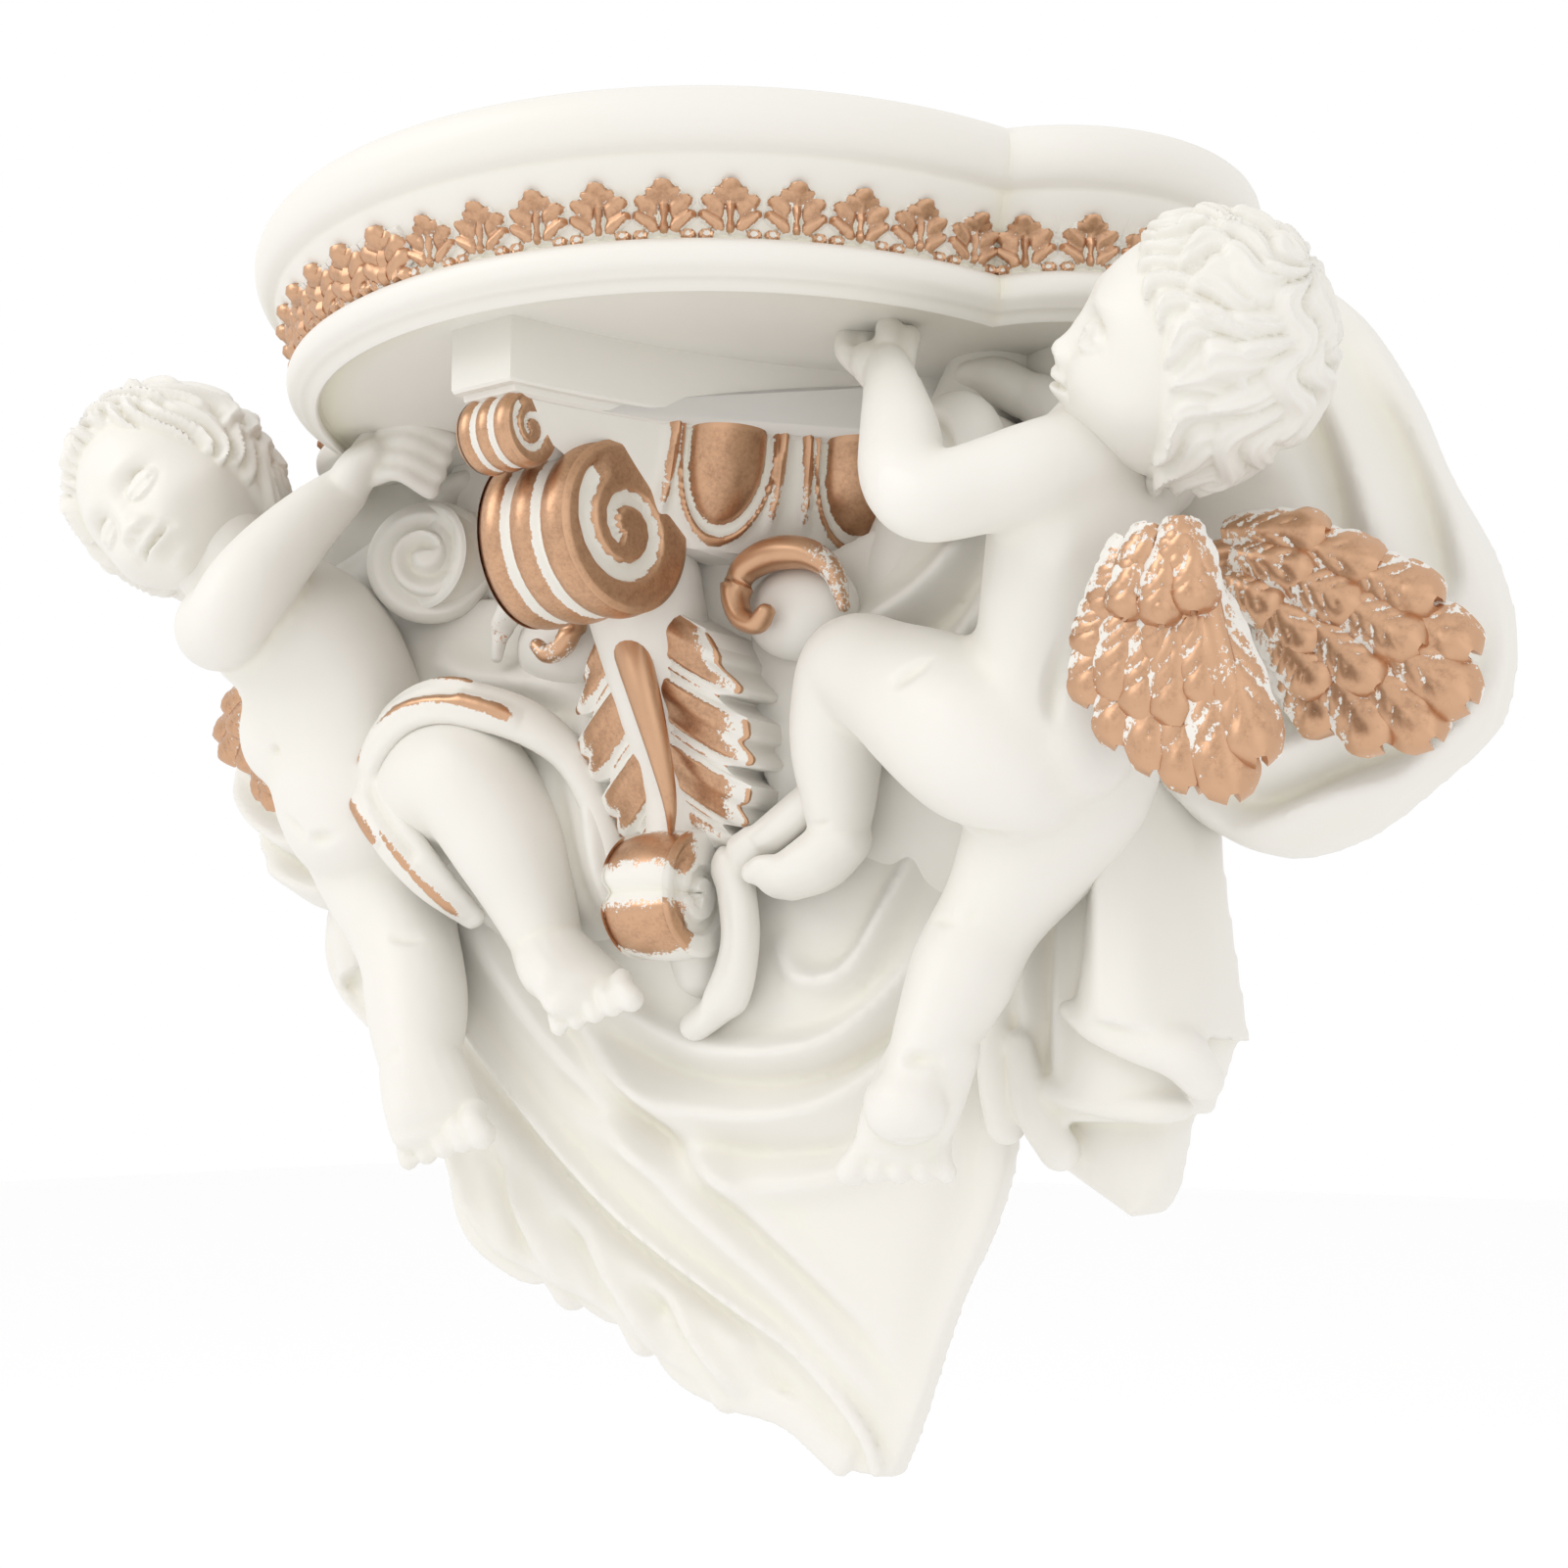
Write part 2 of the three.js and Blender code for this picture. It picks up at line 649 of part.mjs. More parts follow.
function cherub(pose) {
  const neckTop = V(165, -79, -12).lerp(V(...pose.headAt), 0.6);
  const pieces = [
    limb(pose.torso, { sides: 10, across: V(0.1, 1, 0.1) }),
    limb([[165, -79, -12, 11], [neckTop.x, neckTop.y, neckTop.z, 11]]),
    head(pose),
    limb(pose.nearArm),
    limb(pose.farArm),
    limb(pose.straightLeg, { sides: 7, steps: 2 }),
    limb(pose.bentLeg, { sides: 7, steps: 2 }),
    limb(pose.nearHand, { across: V(1, 1, 0) }),
    limb(pose.farHand),
    limb(pose.straightFoot, { across: V(0.6, -1, 0) }),
    limb(pose.bentFoot, { across: V(0.6, -1, 0) }),
    digits(V(...pose.straightFoot[2]), V(9, -14, 0), V(-2, 1, -6), 3, 5),
    digits(V(...pose.bentFoot[2]), V(7, -12, -4), V(-6, 0, -3), 2.8, 5),
    digits(V(...pose.nearHand[1]), V(9, 8, 0), V(-5, 4, 6), 2.8, 4),
    ...pose.wings.map(wing),
  ];
  return join(pieces).scale([pose.side, 1, 1]);
}

// Cloth in relief: a sheet of points over the wall, closed by a flat back.
// place(u, v) gives a point of the sheet, u from edge to edge and v from top to bottom.
function relief(place, columns, rows) {
  const rings = [];
  for (let row = 0; row <= rows; row += 1) {
    const front = [];
    for (let k = 0; k <= columns; k += 1) front.push(place(k / columns, row / rows));
    const last = front[columns];
    rings.push([...front, V(last.x, 3, last.z), V(front[0].x, 3, front[0].z)]);
  }
  return solid(loft(rings));
}

// Values read off a few [key, value, ...] rows, straight between them.
function read(rows, key) {
  const next = Math.max(1, rows.findIndex((row) => row[0] >= key));
  const [a, b] = [rows[next - 1], rows[next]];
  const share = (key - a[0]) / (b[0] - a[0]);
  return a.slice(1).map((value, k) => lerp(value, b[k + 1], share));
}

// The broad fall behind the legs, gathered in swags, that ends in the long swung tail.
function tail() {
  const left = [
    [0, -104, 16], [0.45, -128, -150], [0.62, -124, -232], [0.7, -101, -244], [0.75, -92, -240],
    [0.82, -58, -262], [0.88, -30, -272], [0.93, -4, -288], [1, CLOTH_TIP_X - 5, CLOTH_TIP_Z],
  ];
  const right = [
    [0, 104, 16], [0.45, 96, -140], [0.58, 82, -190], [0.72, 68, -226], [0.86, 57, -264],
    [1, CLOTH_TIP_X + 4, CLOTH_TIP_Z],
  ];
  return relief((u, v) => {
    const from = read(left, v);
    const to = read(right, v);
    const x = lerp(from[0], to[0], u);
    const z = lerp(from[1], to[1], u) - 10 * Math.sin(Math.PI * u) * (1 - v);
    const swag = Math.hypot(0.75 * (x - 10), z + 60);
    const wave = lerp(Math.cos(swag / 6), Math.cos(16 * u + 4 * v), smooth(v, 0.5, 0.72));
    const edge = smooth(u, 0, 0.1) * smooth(1 - u, 0, 0.1);
    const depth = lerp(CLOTH_DEPTH + 14, 9, smooth(v, 0.1, 0.95));
    return V(x, -lerp(5, depth, edge) - 3 * wave * edge, z);
  }, 12, 12);
}

// The cloth that hangs outside each straight leg, in upright flutes with a slanted hem.
function curtain(side) {
  const hem = [[0, -200], [0.25, -207], [0.6, -221], [0.72, -214], [0.86, -200], [1, -168]];
  return relief((u, v) => {
    const flare = side < 0 ? CURTAIN_FLARE_LEFT * bell(v, 0.5, 0.3) : 0;
    const x = lerp(lerp(104, 92, v), lerp(148, 158, v) + flare, u);
    const z = lerp(-66, read(hem, u)[0], v);
    const flute = Math.cos(2 * Math.PI * 2.6 * u + 0.6);
    const edge = smooth(u, 0, 0.1) * smooth(1 - u, 0, 0.1);
    return V(side * x, -lerp(6, CLOTH_DEPTH + 8 + 6 * v, edge) - 6 * flute * edge, z);
  }, 13, 3);
}

// The puff of cloth that swells out beside the shelf and tucks in under the wings.
function puff(side) {
  const outer = [[0, 186], [0.1, 206], [0.3, 221], [0.55, 238], [0.72, PUFF_REACH], [0.88, 226], [1, 190]];
  return relief((u, v) => {
    const x = lerp(lerp(84, 138, v), read(outer, v)[0], u);
    const z = lerp(PUFF_TOP, PUFF_BOTTOM, v) + 14 * (1 - u) * v;
    const bulge = Math.sin(Math.PI * (0.08 + 0.9 * u)) ** 0.6 * Math.sin(Math.PI * (0.12 + 0.82 * v)) ** 0.5;
    const fold = 2.6 * Math.cos(9 * u - 2 * v) * smooth(v, 0.2, 0.6);
    return V(side * x, -4 - (PUFF_DEPTH + fold) * bulge, z);
  }, 9, 8);
}

// A narrow gathered band of cloth: over the left figure's bent knee, and under the right one's foot.
function sash(side) {
  const path = side < 0
    ? [[112, -66, -72], [98, -72, -62], [78, -70, -58], [60, -58, -60], [46, -46, -70]]
    : [[50, -40, -92], [38, -44, -108], [30, -44, -126], [20, -42, -142], [6, -38, -152]];
  return limb(path.map(([x, y, z]) => [side * x, y, z, 7, 5]), { sides: 6 });
}

function corbel() {
  const wall = new THREE.BoxGeometry(2 * PUFF_REACH + 200, 200, 1200).translate(0, 100, 0);
  return join([
    shelf(),
    leafBand(),
    abacus(),
    capital(),
    frontScrolls(),
    sideScrolls(),
    eggAndDart(),
    acanthus(),
    sideCurls(),
    cherub(RIGHT_POSE),
    cherub(LEFT_POSE),
    tail(),
    curtain(1),
    curtain(-1),
    puff(1),
    puff(-1),
    sash(1),
    sash(-1),
  ]).subtract(solid(wall));
}

function toGeometry(body) {
  const mesh = body.getMesh();
  const geometry = new THREE.BufferGeometry();
  geometry.setAttribute('position', new THREE.Float32BufferAttribute(mesh.vertProperties, 3));
  geometry.setIndex(new THREE.BufferAttribute(mesh.triVerts, 1));
  geometry.computeVertexNormals();
  return geometry;
}

const ivory = new THREE.MeshStandardMaterial({ color: 0xf1efe6, roughness: 0.5, metalness: 0 });
const angelCorbel = new THREE.Mesh(toGeometry(corbel()), ivory);
angelCorbel.name = 'angel_corbel';

const group = new THREE.Group();
group.add(angelCorbel);
export default group;
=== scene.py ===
# Angel figure corbel: the looks of a resin casting in ivory paint, dry-brushed with rose gold.
# Modelled in millimetres in the casting's own frame, then settled into metres: X along the wall,
# Y into it, Z up, with the origin on the flat back.

import math

import bpy
import numpy as np
from mathutils import Matrix, Vector


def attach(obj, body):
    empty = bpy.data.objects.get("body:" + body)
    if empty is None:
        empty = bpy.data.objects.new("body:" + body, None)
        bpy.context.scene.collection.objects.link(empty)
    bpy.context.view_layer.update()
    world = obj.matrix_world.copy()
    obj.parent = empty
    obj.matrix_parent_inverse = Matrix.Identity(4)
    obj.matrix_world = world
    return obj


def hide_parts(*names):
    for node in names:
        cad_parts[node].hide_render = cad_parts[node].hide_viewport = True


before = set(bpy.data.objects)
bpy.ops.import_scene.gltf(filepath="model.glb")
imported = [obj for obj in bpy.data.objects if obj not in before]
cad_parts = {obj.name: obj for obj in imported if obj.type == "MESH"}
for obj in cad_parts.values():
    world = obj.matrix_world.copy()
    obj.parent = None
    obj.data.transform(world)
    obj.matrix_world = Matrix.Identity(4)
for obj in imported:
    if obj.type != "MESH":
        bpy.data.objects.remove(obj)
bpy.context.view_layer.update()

bpy.ops.object.select_all(action="DESELECT")

NODE = "angel_corbel"
MM = 0.001

# Shelf: a wide bow between two round lobes, cut flat at the wall.
SHELF_TOP = 73
BOW_RADIUS = 147
BOW_CENTRE_Y = -25.7
LOBE_RADIUS = 64
LOBE_CENTRE_X = 114
LOBE_CENTRE_Y = -20.6
SHELF_BOTTOM = 27
LOBE_SHARE = 0.18
RIM_PROFILE = [(34, 73), (12, 73), (5, 72.7), (1.6, 70.4), (0, 66), (0.7, 61), (3, 57.4), (5.8, 55.7)]
COVE_PROFILE = [(6.4, 55.3), (7.4, 53.4), (9.8, 50.2), (12.6, 47.2), (14.6, 44), (15.4, 40), (15.4, 35.4)]
TORUS_PROFILE = [(13.4, 35), (11.2, 33.2), (10.6, 30.6), (11.6, 27.6), (14.4, 25.6)]
LIP_PROFILE = [(15, 25.2), (17, 24.6), (19.4, 22.9), (20.6, 23.8), (21.6, 27), (40, 27)]

# Row of leaves in the cove.
LEAF_PITCH = 17.2
LEAF_HEIGHT = 14.5
LEAF_BASE_Z = 35.2
LEAF_FACE_INSET = 15.4

# Abacus under the shelf, hollow-sided, its cut corner forward.
ABACUS_TOP = 28
ABACUS_BOTTOM = 8.5
ABACUS_FRONT_Y = -138
ABACUS_CORNER = 22
ABACUS_WALL_X = 112
ABACUS_HOLLOW = 14

# Scrolls: radius, centre (y, z) and widths.
SCROLL_RADIUS = 26
SCROLL_Y = -96
SCROLL_Z = -25
SCROLL_FRONT = 34
SCROLL_BACK = 45
TOP_SCROLL_RADIUS = 11
TOP_SCROLL_Y = -127
TOP_SCROLL_WIDTH = 20
FOOT_SCROLL_RADIUS = 20
FOOT_SCROLL_Y = -50
FOOT_SCROLL_Z = -127
FOOT_SCROLL_WIDTH = 26
SIDE_SCROLL_RADIUS = 19
SIDE_SCROLL_X = 99
SIDE_SCROLL_Z = -9
SIDE_SCROLL_FRONT_Y = -58


def lerp(a, b, t):
    return a + (b - a) * t


def ramp(value, low, high):
    t = np.clip((value - low) / (high - low), 0, 1)
    return t * t * (3 - 2 * t)


def bell(value, centre, spread):
    return np.exp(-(((value - centre) / spread) ** 2))


def unit(v):
    v = np.asarray(v, float)
    return v / np.linalg.norm(v, axis=-1, keepdims=True)


def places(obj):
    co = np.empty(len(obj.data.vertices) * 3)
    obj.data.vertices.foreach_get("co", co)
    return co.reshape(-1, 3)


def put(obj, points):
    obj.data.vertices.foreach_set("co", np.ascontiguousarray(points, float).ravel())
    obj.data.update()


def normals(obj):
    n = np.empty(len(obj.data.vertices) * 3)
    obj.data.vertex_normals.foreach_get("vector", n)
    return n.reshape(-1, 3)


def note(obj, name, values):
    """Keeps one number for each vertex as a named attribute."""
    found = obj.data.attributes.get(name) or obj.data.attributes.new(name, "FLOAT", "POINT")
    found.data.foreach_set("value", np.asarray(values, np.float32))


def noted(obj, name):
    values = np.empty(len(obj.data.vertices), np.float32)
    obj.data.attributes[name].data.foreach_get("value", values)
    return values


def select_only(*objs):
    bpy.ops.object.select_all(action="DESELECT")
    for obj in objs:
        obj.select_set(True)
    bpy.context.view_layer.objects.active = objs[0]


def join(objs, name):
    select_only(*objs)
    if len(objs) > 1:
        bpy.ops.object.join()
    obj = bpy.context.object
    obj.name = name
    obj.data.name = name
    return obj


def apply_modifier(obj, kind, **values):
    select_only(obj)
    modifier = obj.modifiers.new(kind, kind)
    for key, value in values.items():
        setattr(modifier, key, value)
    bpy.ops.object.modifier_apply(modifier=modifier.name)
    return obj


def outward(obj):
    select_only(obj)
    bpy.ops.object.mode_set(mode="EDIT")
    bpy.ops.mesh.select_all(action="SELECT")
    bpy.ops.mesh.normals_make_consistent(inside=False)
    bpy.ops.object.mode_set(mode="OBJECT")
    return obj


def spline(points, shares):
    """Places on a smooth line through `points`, at shares 0 to 1 of its knots."""
    p = np.asarray(points, float)
    p = np.vstack([2 * p[0] - p[1], p, 2 * p[-1] - p[-2]])
    s = np.clip(np.asarray(shares, float), 0, 1) * (len(p) - 3)
    k = np.minimum(s.astype(int), len(p) - 4)
    t = (s - k)[..., None]
    a, b, c, d = p[k], p[k + 1], p[k + 2], p[k + 3]
    return 0.5 * (2 * b + (c - a) * t + (2 * a - 5 * b + 4 * c - d) * t**2 + (3 * b - a - 3 * c + d) * t**3)


def axes(up, front):
    """Columns are the x, y and z axes of a frame with z along `up` and -y towards `front`."""
    z = unit(up)
    y = -np.asarray(front, float)
    y = unit(y - z * (y @ z))
    return np.stack([np.cross(y, z), y, z], 1)


def ball(at, size, turn=np.eye(3), segments=24):
    """A sphere primitive drawn out to an egg of half-sizes `size`, turned and set at `at`."""
    bpy.ops.mesh.primitive_uv_sphere_add(segments=segments, ring_count=2 * segments // 3, radius=1)
    obj = bpy.context.object
    put(obj, (places(obj) * np.broadcast_to(size, 3)) @ turn.T + np.asarray(at, float))
    return obj


def limb(joints, across=(0, 1, 0), around=18, per=6):
    """A sphere primitive drawn along joints [x, y, z, half width, half depth], widths along `across`."""
    table = np.array([list(j) + [j[3]] * (5 - len(j)) for j in joints], float)
    cap = 4
    rows = per * (len(table) - 1) + 2 * cap
    bpy.ops.mesh.primitive_uv_sphere_add(segments=around, ring_count=rows, radius=1)
    obj = bpy.context.object
    start = places(obj)
    row = np.round(np.arccos(np.clip(start[:, 2], -1, 1)) / math.pi * rows)
    turn = np.arctan2(start[:, 1], start[:, 0])
    head = np.clip(row / cap, 0, 1) * math.pi / 2
    foot = np.clip((rows - row) / cap, 0, 1) * math.pi / 2
    share = np.sin(head) * np.sin(foot)
    share[(row == 0) | (row == rows)] = 0
    shift = np.cos(foot) - np.cos(head)
    t = np.clip((row - cap) / (rows - 2 * cap), 0, 1)
    at = spline(table, t)
    along = unit(spline(table[:, :3], t + 0.01) - spline(table[:, :3], t - 0.01))
    wide = np.asarray(across, float) - along * (along @ np.asarray(across, float))[:, None]
    wide = unit(wide)
    deep = np.cross(along, wide)
    size = np.maximum(at[:, 3:5], 0.05)
    spot = at[:, :3] + along * (shift * size.min(1))[:, None]
    spot += wide * (np.cos(turn) * share * size[:, 0])[:, None]
    spot += deep * (np.sin(turn) * share * size[:, 1])[:, None]
    put(obj, spot)
    return obj


def sheet(columns, rows, place):
    """A grid primitive whose vertices go to place(u, v), u from side to side and v from top to bottom."""
    bpy.ops.mesh.primitive_grid_add(x_subdivisions=columns, y_subdivisions=rows, size=2)
    obj = bpy.context.object
    start = places(obj)
    put(obj, place((start[:, 0] + 1) / 2, (1 - start[:, 1]) / 2))
    return obj


def back_to_wall(obj, wall=0.0):
    """Draws a sheet back to the wall, which closes it with a flat back."""
    select_only(obj)
    bpy.ops.object.mode_set(mode="EDIT")
    bpy.ops.mesh.select_all(action="SELECT")
    bpy.ops.mesh.extrude_region_move()
    bpy.ops.object.mode_set(mode="OBJECT")
    flat = np.zeros(len(obj.data.vertices), bool)
    obj.data.vertices.foreach_get("select", flat)
    points = places(obj)
    points[flat, 1] = wall
    put(obj, points)
    return outward(obj)


def thicken(obj, thickness):
    return outward(apply_modifier(obj, "SOLIDIFY", thickness=thickness, offset=-1))


def fuse(objs, name, voxel, soften):
    """Joins shapes into one skin and softens where they meet."""
    obj = join(objs, name)
    apply_modifier(obj, "REMESH", mode="VOXEL", voxel_size=voxel)
    if soften:
        apply_modifier(obj, "SMOOTH", factor=0.5, iterations=soften)
    return obj


def thin(obj, triangles):
    """Brings a dense carved piece under its budget, taking most from the plain stretches."""
    now = sum(len(p.vertices) - 2 for p in obj.data.polygons)
    if now > triangles:
        apply_modifier(obj, "DECIMATE", ratio=triangles / now)
    return obj


def relaxed(obj, points, rounds):
    edges = np.empty(len(obj.data.edges) * 2, int)
    obj.data.edges.foreach_get("vertices", edges)
    a, b = edges.reshape(-1, 2).T
    count = len(points)
    near = np.maximum(np.bincount(a, minlength=count) + np.bincount(b, minlength=count), 1)
    for _ in range(rounds):
        points = np.stack([
            (np.bincount(a, points[b, k], count) + np.bincount(b, points[a, k], count)) / near
            for k in range(3)
        ], 1)
    return points


def stroke(points, out, path, width, depth, taper=0.25, sharp=1.0):
    """One cut of the tool along `path`: vertices nearer than `width` move `depth` along their normals."""
    path = np.asarray(path, float)
    near = np.all((points > path.min(0) - width) & (points < path.max(0) + width), 1)
    index = np.flatnonzero(near)
    if not len(index):
        return
    p = points[index]
    best = np.full(len(index), 1e9)
    share = np.zeros(len(index))
    for k in range(len(path) - 1):
        a, b = path[k], path[k + 1]
        t = np.clip((p - a) @ (b - a) / max((b - a) @ (b - a), 1e-9), 0, 1)
        d = np.linalg.norm(p - a - t[:, None] * (b - a), axis=1)
        closer = d < best
        best[closer] = d[closer]
        share[closer] = ((k + t) / (len(path) - 1))[closer]
    reach = np.clip(1 - best / width, 0, 1)
    fall = (reach * reach * (3 - 2 * reach)) ** sharp
    fade = np.clip(np.minimum(share, 1 - share) / max(taper, 1e-6), 0, 1) ** 0.6
    points[index] += out[index] * (depth * fall * fade)[:, None]


def smooth_path(points, count=14):
    return spline(points, np.linspace(0, 1, count))


pieces = []


def settle(obj, finish, reach=9, angle=40):
    """Last steps for a piece: its relief for the paint, shading, material, metres and its body."""
    points = places(obj)
    points[:, 1] = np.minimum(points[:, 1], 0)
    points[:, 2] = np.clip(points[:, 2], -299.9, SHELF_TOP)
    out = normals(obj)
    height = np.einsum("ij,ij->i", points - relaxed(obj, points, reach), out)
    note(obj, "relief", height)
    if "gilt" not in obj.data.attributes:
        note(obj, "gilt", np.zeros(len(points)))
    obj.data.materials.clear()
    obj.data.materials.append(finish)
    put(obj, points * MM)
    select_only(obj)
    bpy.ops.object.shade_smooth_by_angle(angle=math.radians(angle))
    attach(obj, "root")
    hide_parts(NODE)
    pieces.append(obj)
    return obj


def node_group(name, inputs, outputs):
    group = bpy.data.node_groups.new(name, "ShaderNodeTree")
    for label, kind, value in inputs:
        socket = group.interface.new_socket(label, in_out="INPUT", socket_type=kind)
        if value is not None:
            socket.default_value = value
    for label, kind in outputs:
        group.interface.new_socket(label, in_out="OUTPUT", socket_type=kind)
    return group, group.nodes.new("NodeGroupInput"), group.nodes.new("NodeGroupOutput")


def link(tree, a, b):
    tree.links.new(a, b)


def maths(tree, kind, *values, clamp=False):
    node = tree.nodes.new("ShaderNodeMath")
    node.operation = kind
    node.use_clamp = clamp
    for k, value in enumerate(values):
        if isinstance(value, (int, float)):
            node.inputs[k].default_value = value
        else:
            link(tree, value, node.inputs[k])
    return node.outputs[0]


def noise(tree, where, scale, detail=3.0, rough=0.6):
    node = tree.nodes.new("ShaderNodeTexNoise")
    node.inputs["Scale"].default_value = scale
    node.inputs["Detail"].default_value = detail
    node.inputs["Roughness"].default_value = rough
    link(tree, where, node.inputs["Vector"])
    return node.outputs["Fac"]


def mixed(tree, share, a, b):
    node = tree.nodes.new("ShaderNodeMix")
    node.data_type = "RGBA"
    link(tree, share, node.inputs["Factor"])
    for value, socket in ((a, node.inputs["A"]), (b, node.inputs["B"])):
        if isinstance(value, tuple):
            socket.default_value = value
        else:
            link(tree, value, socket)
    return node.outputs["Result"]


def between(tree, value, low, high, to_low=0.0, to_high=1.0):
    node = tree.nodes.new("ShaderNodeMapRange")
    node.interpolation_type = "SMOOTHSTEP"
    link(tree, value, node.inputs["Value"])
    for label, number in (("From Min", low), ("From Max", high), ("To Min", to_low), ("To Max", to_high)):
        node.inputs[label].default_value = number
    return node.outputs["Result"]


def dry_brush_group():
    """Where gold catches: full on gilded ground, on high relief first, broken by the bristles. Also how dark the gold
    is: random tone, plus painted shade in its hollows and painted highlight on its raised parts.
    """
    group, start, end = node_group(
        "dry brush",
        [("Gilt", "NodeSocketFloat", 0.0), ("Relief", "NodeSocketFloat", 0.0),
         ("Vector", "NodeSocketVector", None), ("Scratch", "NodeSocketFloat", 1.5)],
        [("Gold", "NodeSocketFloat"), ("Gold Tone And Shade", "NodeSocketFloat")],
    )
    fine = noise(group, start.outputs["Vector"], 900, 4, 0.7)
    broad = noise(group, start.outputs["Vector"], 210, 3, 0.6)
    bristle = maths(group, "ADD", maths(group, "MULTIPLY", fine, 0.6), maths(group, "MULTIPLY", broad, 0.4))
    centred = maths(group, "SUBTRACT", bristle, 0.5)
    gilt = start.outputs["Gilt"]
    edge = maths(group, "MULTIPLY", maths(group, "MULTIPLY", gilt, maths(group, "SUBTRACT", 1.0, gilt)), 5.0)
    edge = maths(group, "ADD", edge, 0.45)
    rough = maths(group, "MULTIPLY", maths(group, "MULTIPLY", centred, edge), start.outputs["Scratch"])
    high = maths(group, "MULTIPLY", start.outputs["Relief"], 0.3)
    high = maths(group, "MULTIPLY", high, maths(group, "MINIMUM", maths(group, "MULTIPLY", gilt, 4.0), 1.0))
    total = maths(group, "ADD", maths(group, "ADD", gilt, rough), high)
    link(group, between(group, total, 0.44, 0.56), end.inputs["Gold"])
    # Painted highlight and shade on the gold: raised relief lightens it and hollows darken it, on top of the random
    # tone from the noise.
    raised = maths(group, "MULTIPLY", start.outputs["Relief"], 0.22)
    gold_tone_and_shade = maths(group, "ADD", maths(group, "MULTIPLY", centred, 0.6), raised)
    link(group, between(group, gold_tone_and_shade, -0.22, 0.12), end.inputs["Gold Tone And Shade"])
    return group


def paint_group():
    """Satin ivory paint, with painted shade: a warm tint laid into the hollows by their relief, and faint clouding of
    the same tint on the flats.
    """
    group, start, end = node_group(
        "ivory paint",
        [("Relief", "NodeSocketFloat", 0.0), ("Vector", "NodeSocketVector", None),
         ("Paint", "NodeSocketColor", (1, 1, 1, 1)), ("Shade And Cloud", "NodeSocketColor", (1, 1, 1, 1))],
        [("Color", "NodeSocketColor"), ("Height", "NodeSocketFloat")],
    )
    cloud = noise(group, start.outputs["Vector"], 14, 4, 0.55)
    # Painted shade: the lower the relief, the more of the warm tint, standing in for the shade that falls in hollows.
    hollow = between(group, start.outputs["Relief"], 0.4, -1.8)
    share = maths(group, "MULTIPLY", hollow, 0.9)
    share = maths(group, "ADD", share, maths(group, "MULTIPLY", between(group, cloud, 0.45, 0.75), 0.14), clamp=True)
    link(group, mixed(group, share, start.outputs["Paint"], start.outputs["Shade And Cloud"]), end.inputs["Color"])
    grain = noise(group, start.outputs["Vector"], 420, 3, 0.6)
    orange = noise(group, start.outputs["Vector"], 90, 2, 0.5)
    link(group, maths(group, "ADD", maths(group, "MULTIPLY", grain, 0.35), orange), end.inputs["Height"])
    return group


IVORY = (0.785, 0.76, 0.71, 1)
# Warm tint for painted shade in the hollows, also used faintly for random clouding on the flats.
SHADE_AND_CLOUD_TINT = (0.77, 0.745, 0.625, 1)
GOLD = (0.60, 0.365, 0.225, 1)
# Dark gold: its random darker tone, and painted shade where gold lies in hollows.
GOLD_DARK_TONE_AND_SHADE = (0.30, 0.16, 0.09, 1)


def painted(name, brush, paint):
    material = bpy.data.materials.new(name)
    material.use_nodes = True
    tree = material.node_tree
    shader = tree.nodes["Principled BSDF"]
    where = tree.nodes.new("ShaderNodeTexCoord").outputs["Object"]
    read = {}
    for label in ("gilt", "relief"):
        node = tree.nodes.new("ShaderNodeAttribute")
        node.attribute_name = label
        read[label] = node.outputs["Fac"]
    brushing = tree.nodes.new("ShaderNodeGroup")
    brushing.node_tree = brush
    coat = tree.nodes.new("ShaderNodeGroup")
    coat.node_tree = paint
    coat.inputs["Paint"].default_value = IVORY
    # The warm tint gives painted shade in hollows and faint clouding on flats.
    coat.inputs["Shade And Cloud"].default_value = SHADE_AND_CLOUD_TINT
    for node in (brushing, coat):
        link(tree, read["relief"], node.inputs["Relief"])
        link(tree, where, node.inputs["Vector"])
    link(tree, read["gilt"], brushing.inputs["Gilt"])
    # Gold from dark to full colour by random tone and by relief: painted shade in hollows, painted highlight on raised
    # parts.
    metal = mixed(tree, brushing.outputs["Gold Tone And Shade"], GOLD_DARK_TONE_AND_SHADE, GOLD)
    gold = brushing.outputs["Gold"]
    link(tree, mixed(tree, gold, coat.outputs["Color"], metal), shader.inputs["Base Color"])
    link(tree, maths(tree, "MULTIPLY", gold, 0.9), shader.inputs["Metallic"])
    link(tree, between(tree, gold, 0, 1, 0.46, 0.36), shader.inputs["Roughness"])
    shader.inputs["IOR"].default_value = 1.48
    bump = tree.nodes.new("ShaderNodeBump")
    bump.inputs["Strength"].default_value = 0.12
    bump.inputs["Distance"].default_value = 0.0006
    height = maths(tree, "ADD", coat.outputs["Height"], maths(tree, "MULTIPLY", gold, 0.5))
    link(tree, height, bump.inputs["Height"])
    link(tree, bump.outputs["Normal"], shader.inputs["Normal"])
    return material


resin = painted("ivory resin dry-brushed gold", dry_brush_group(), paint_group())


